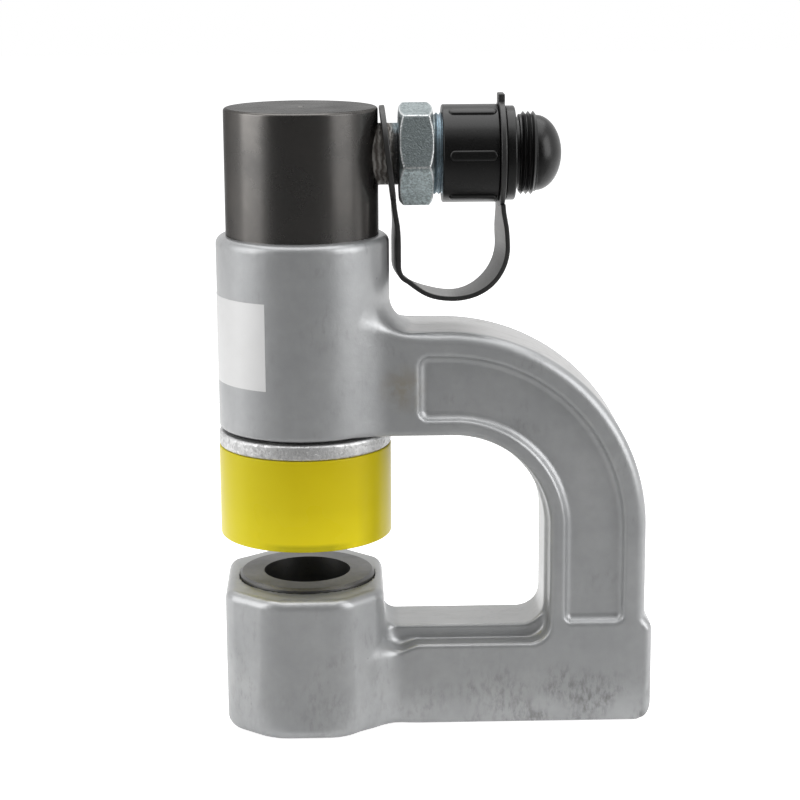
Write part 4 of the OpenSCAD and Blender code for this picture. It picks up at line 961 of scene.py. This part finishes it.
def strap_path():
    """Middle line of the strap, from the nipple's ring down, along and up to the cap's ring."""
    start_z, back_z, bend_z, low_z = PORT_Z - 14.0, PORT_Z - 19.3, 184.0, 171.0
    bend_r, turn, lean = 8.0, radians(50), radians(3)
    shift = 0.9
    leg_x = STRAP_LEFT_X + shift
    joint_x, joint_z = leg_x + bend_r * (1 - cos(turn)), bend_z - bend_r * sin(turn)
    run_r = (joint_z - low_z) / (1 - cos(pi / 2 - turn))
    low_x = joint_x + run_r * sin(pi / 2 - turn)
    up_r = STRAP_RIGHT_X - low_x + tan(lean) * (back_z - low_z)
    up_r /= cos(lean) + tan(lean) * (1 + sin(lean))
    path = [(STRAP_LEFT_X + shift * float(ease(209.0, 198.0, z)) - 0.12 * max(z - 208.0, 0.0), z)
            for z in np.linspace(start_z, bend_z, 14)]
    for x, z, r, angles in ((leg_x + bend_r, bend_z, bend_r, np.linspace(0, turn, 12)),
                            (low_x, low_z + run_r, run_r, np.linspace(turn, pi / 2, 14)),
                            (low_x, low_z + up_r, up_r, np.linspace(pi / 2, pi + lean, 28))):
        path += [(x - r * cos(t), z - r * sin(t)) for t in angles[1:]]
    top_x, top_z = path[-1]
    path += [(top_x + (STRAP_RIGHT_X - top_x) * t, top_z + (back_z - top_z) * t) for t in np.linspace(0, 1, 6)[1:]]
    return path


def strap_band():
    """The strap's band, a little twisted at both legs, with a mark on its inner face that is partly dust and partly
    painted sheen.
    """
    path = strap_path()
    seed = path_mesh("strap_path", [(x, 0.0, z) for x, z in path])
    across = seed.attributes.new("band_across", "FLOAT_VECTOR", "POINT")
    for k, (x, z) in enumerate(path):
        right = 10.0 * ease(52.0, 74.0, x) * (1 - 0.7 * ease(196.0, 207.0, z))
        left = (5.0 + 6.0 * ease(38.0, 41.0, x)) * (1 - ease(42.0, 52.0, x)) * ease(209.0, 192.0, z)
        twist = radians(float(right + left))
        ahead, behind = path[min(k + 1, len(path) - 1)], path[max(k - 1, 0)]
        along = Vector((ahead[0] - behind[0], 0.0, ahead[1] - behind[1])).normalized()
        side = Vector((-sin(twist), cos(twist), 0.0))
        across.data[k].vector = (side - side.dot(along) * along).normalized()
    band = grow("strap_band", BAND, seed, Width=STRAP_W * MM, Thickness=0.88 * STRAP_T * MM, Edge_Radius=0.4 * MM,
                Material=FINISH["strap_rubber"])
    mark_sharp(band, 50)
    dust_sheen_mark = band.attributes.new("rubbed_face", "FLOAT", "FACE")
    middle_x, middle_z = 57.0, 193.0
    for face in band.polygons:
        x, _, z = face.center / MM
        inward = Vector((middle_x - x, 0.0, middle_z - z)).normalized().dot(face.normal)
        # Dust and painted sheen on the inner face, dipping at the lower right as painted shade
        dust_sheen_span = ease(42.0, 48.0, x) * (1 - 0.6 * ease(55.0, 63.0, x) * ease(196.0, 184.0, z))
        dust_sheen_mark.data[face.index].value = float(ease(0.6, 0.9, inward) * dust_sheen_span)
    return band


def strap():
    """Rubber strap: a band in its rest shape, though on the tool it bends as the cap travels, a ring at each end and a
    pull tab.
    """
    piece = bpy.data.objects.new("strap_band", strap_band())
    scene.collection.objects.link(piece)
    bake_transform(piece)
    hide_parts("dust_cap_strap")
    half = STRAP_T / 2
    for name, x, hole, rim, body in (("strap_nipple_ring", 0.0, 12.4, NIPPLE_RING_R, "frame"),
                                     ("strap_cap_ring", STRAP_RIGHT_X, 15.1, CAP_RING_R, "strap")):
        line = soften([(x - half, hole, 0.0), (x - half, rim, 0.5), (x + half, rim, 0.5), (x + half, hole, 0.3),
                       (x - half, hole, 0.0)])
        mesh = turned_mesh(name, line, "X", 120)
        if body == "frame":
            hub = Vector(((STRAP_LEFT_X - rim * sin(STRAP_RING_LEAN)) * MM, 0.0, PORT_Z * MM))
            back = Matrix.Translation((0.0, 0.0, -PORT_Z * MM))
            mesh.transform(Matrix.Translation(hub) @ Matrix.Rotation(-STRAP_RING_LEAN, 4, "Y") @ back)
        add_piece(name, mesh, "strap_rubber", body)
    tab_size, tab_z = (STRAP_T + 0.4, 9.0, 5.6), PORT_Z + 20.4
    tab = bmesh.new()
    bmesh.ops.create_cube(tab, size=1.0)
    for v in tab.verts:
        v.co = (Vector((STRAP_RIGHT_X, 0.0, tab_z)) + v.co * Vector(tab_size)) * MM
    bmesh.ops.bevel(tab, geom=tab.edges[:], offset=0.5 * MM, segments=3, profile=0.5, affect="EDGES")
    mesh = bpy.data.meshes.new("strap_pull_tab")
    tab.to_mesh(mesh)
    tab.free()
    mark_sharp(mesh, 50)
    add_piece("strap_pull_tab", mesh, "strap_rubber", "strap")


def spring(name, node, low, high, coil_r, wire, turns, along_x):
    """Wound spring with closed ends, in its rest length, though on the tool it shortens with its joint; it stands on
    its fixed end.
    """
    flat, rise = 0.75, wire + 0.5
    length = high - low
    pitch = (length - wire - 2 * flat * rise) / (turns - 2 * flat)
    path = []
    for t in np.linspace(0.0, turns, turns * 48 + 1):
        height = t * rise if t < flat else flat * rise + (t - flat) * pitch
        if t > turns - flat:
            height = length - wire - (turns - t) * rise
        a, along = 2 * pi * t, low + wire / 2 + height
        across = (coil_r * cos(a), coil_r * sin(a))
        path.append((along, across[1], PORT_Z - across[0]) if along_x else (*across, along))
    mesh = grow(name, WIRE, path_mesh(name + "_path", path), Radius=0.49 * wire * MM, Material=FINISH["spring_steel"])
    face_outwards(mesh, 60)
    piece = add_piece(name, mesh, "spring_steel", "frame", node=node)
    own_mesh(piece)


def dress_solids():
    """Gives every carried-over solid its finish."""
    slots = {row["node"]: row["material_slot"] for row in frame["record"]["subparts"]}
    special = {"port_nipple": "taped_thread"}
    for name, node in frame["nodes"].items():
        node.data.materials.clear()
        node.data.materials.append(FINISH[special.get(name, slots[name])])


# ---- floor and light; lengths in metres ----


def flat_mesh(name, width, height):
    """Rectangle about the origin."""
    w, h = width / 2 / MM, height / 2 / MM
    return mesh_from(name, [(-w, -h, 0), (w, -h, 0), (w, h, 0), (-w, h, 0)], [(0, 1, 2, 3)])


def aimed(name, data, place, aim):
    """Object at a place with its underside turned to a point."""
    holder = bpy.data.objects.new(name, data)
    scene.collection.objects.link(holder)
    holder.location = place
    holder.rotation_mode = "QUATERNION"
    holder.rotation_quaternion = (Vector(aim) - Vector(place)).to_track_quat("-Z", "Y")
    return holder


def ray_light(net, seen, mirrored, other):
    """Strength of a glow for camera rays, mirrored rays and all others."""
    ray = net.put("LightPath")
    bounced = net.math("MAXIMUM", ray["Is Glossy Ray"], ray["Is Transmission Ray"])
    return net.math("MAXIMUM", net.times(ray["Is Camera Ray"], seen), net.plus(other, bounced, mirrored - other))


def floor_and_room():
    """Pale floor and white surroundings."""
    floor = bpy.data.objects.new("floor", flat_mesh("floor", 8.0, 8.0))
    scene.collection.objects.link(floor)
    floor.location.z = -0.0004
    pale = bpy.data.materials.new("pale_floor")
    net = bare_tree(pale)
    lit = net.put("BsdfDiffuse", {"Color": grey(0.8)})[0]
    glow = net.put("Emission", {"Color": grey(1.0), "Strength": ray_light(net, 0.8, 0.45, 0.0)})[0]
    both = net.put("AddShader", {0: lit, 1: glow})[0]
    net.put("OutputMaterial", {"Surface": both})
    floor.data.materials.append(pale)

    scene.world = bpy.data.worlds.new("white_room")
    net = bare_tree(scene.world)
    back = net.put("Background", {"Color": grey(1.0), "Strength": ray_light(net, 1.0, 0.88, 0.45)})[0]
    net.put("OutputWorld", {"Surface": back})


def softbox(name, place, aim, width, height, power):
    """Rectangular area lamp."""
    lamp = bpy.data.lights.new(name, "AREA")
    lamp.shape, lamp.size, lamp.size_y, lamp.energy = "RECTANGLE", width, height, power
    aimed(name, lamp, place, aim)


def card(name, place, aim, width, height, tone, near_tone, near):
    """Dark card that only mirrors show; its tone changes towards the line where its own Y is near."""
    holder = aimed(name, flat_mesh(name, width, height), place, aim)
    holder.visible_camera = holder.visible_shadow = holder.visible_diffuse = False
    c = Coat(name)
    away = c.math("ABSOLUTE", c.math("SUBTRACT", c.axes()["Y"], near))
    c.base(c.fit(away, 0.0, 0.5, 1.0, 0.0), grey(tone), grey(near_tone))
    holder.data.materials.append(c.done(1.0))


def studio():
    """Floor, surroundings, softboxes and dark cards."""
    floor_and_room()
    softbox("left_softbox", (-0.9, -0.2, 0.45), (0.04, 0, 0.13), 0.7, 0.8, 4.2)
    softbox("right_softbox", (0.95, -0.45, 0.5), (0.04, 0, 0.13), 0.7, 0.9, 6.3)
    softbox("top_softbox", (0.05, 0.15, 1.1), (0.05, 0, 0.1), 1.3, 1.1, 9.5)
    card("front_card", (0.0, -1.5, 0.6), (0.0, 0, 0.6), 3.4, 2.4, 0.1, 0.1, 0.0)
    card("front_floor_card", (0.0, -0.93, 0.0003), (0.0, -0.93, -1.0), 3.0, 1.77, 0.16, 0.52, 0.885)


scene.view_settings.view_transform = "Standard"
place_camera()
dress_solids()
cast_frame()
label()
stripper_sleeve()
coupler_half()
dust_cap()
strap()
spring("return_coil", "return_spring", 141.28, 190.42, 21.78, 3.4, 6, False)
spring("valve_coil", "coupler_spring", 48.12, 56.48, 5.0, 1.0, 4, True)
studio()
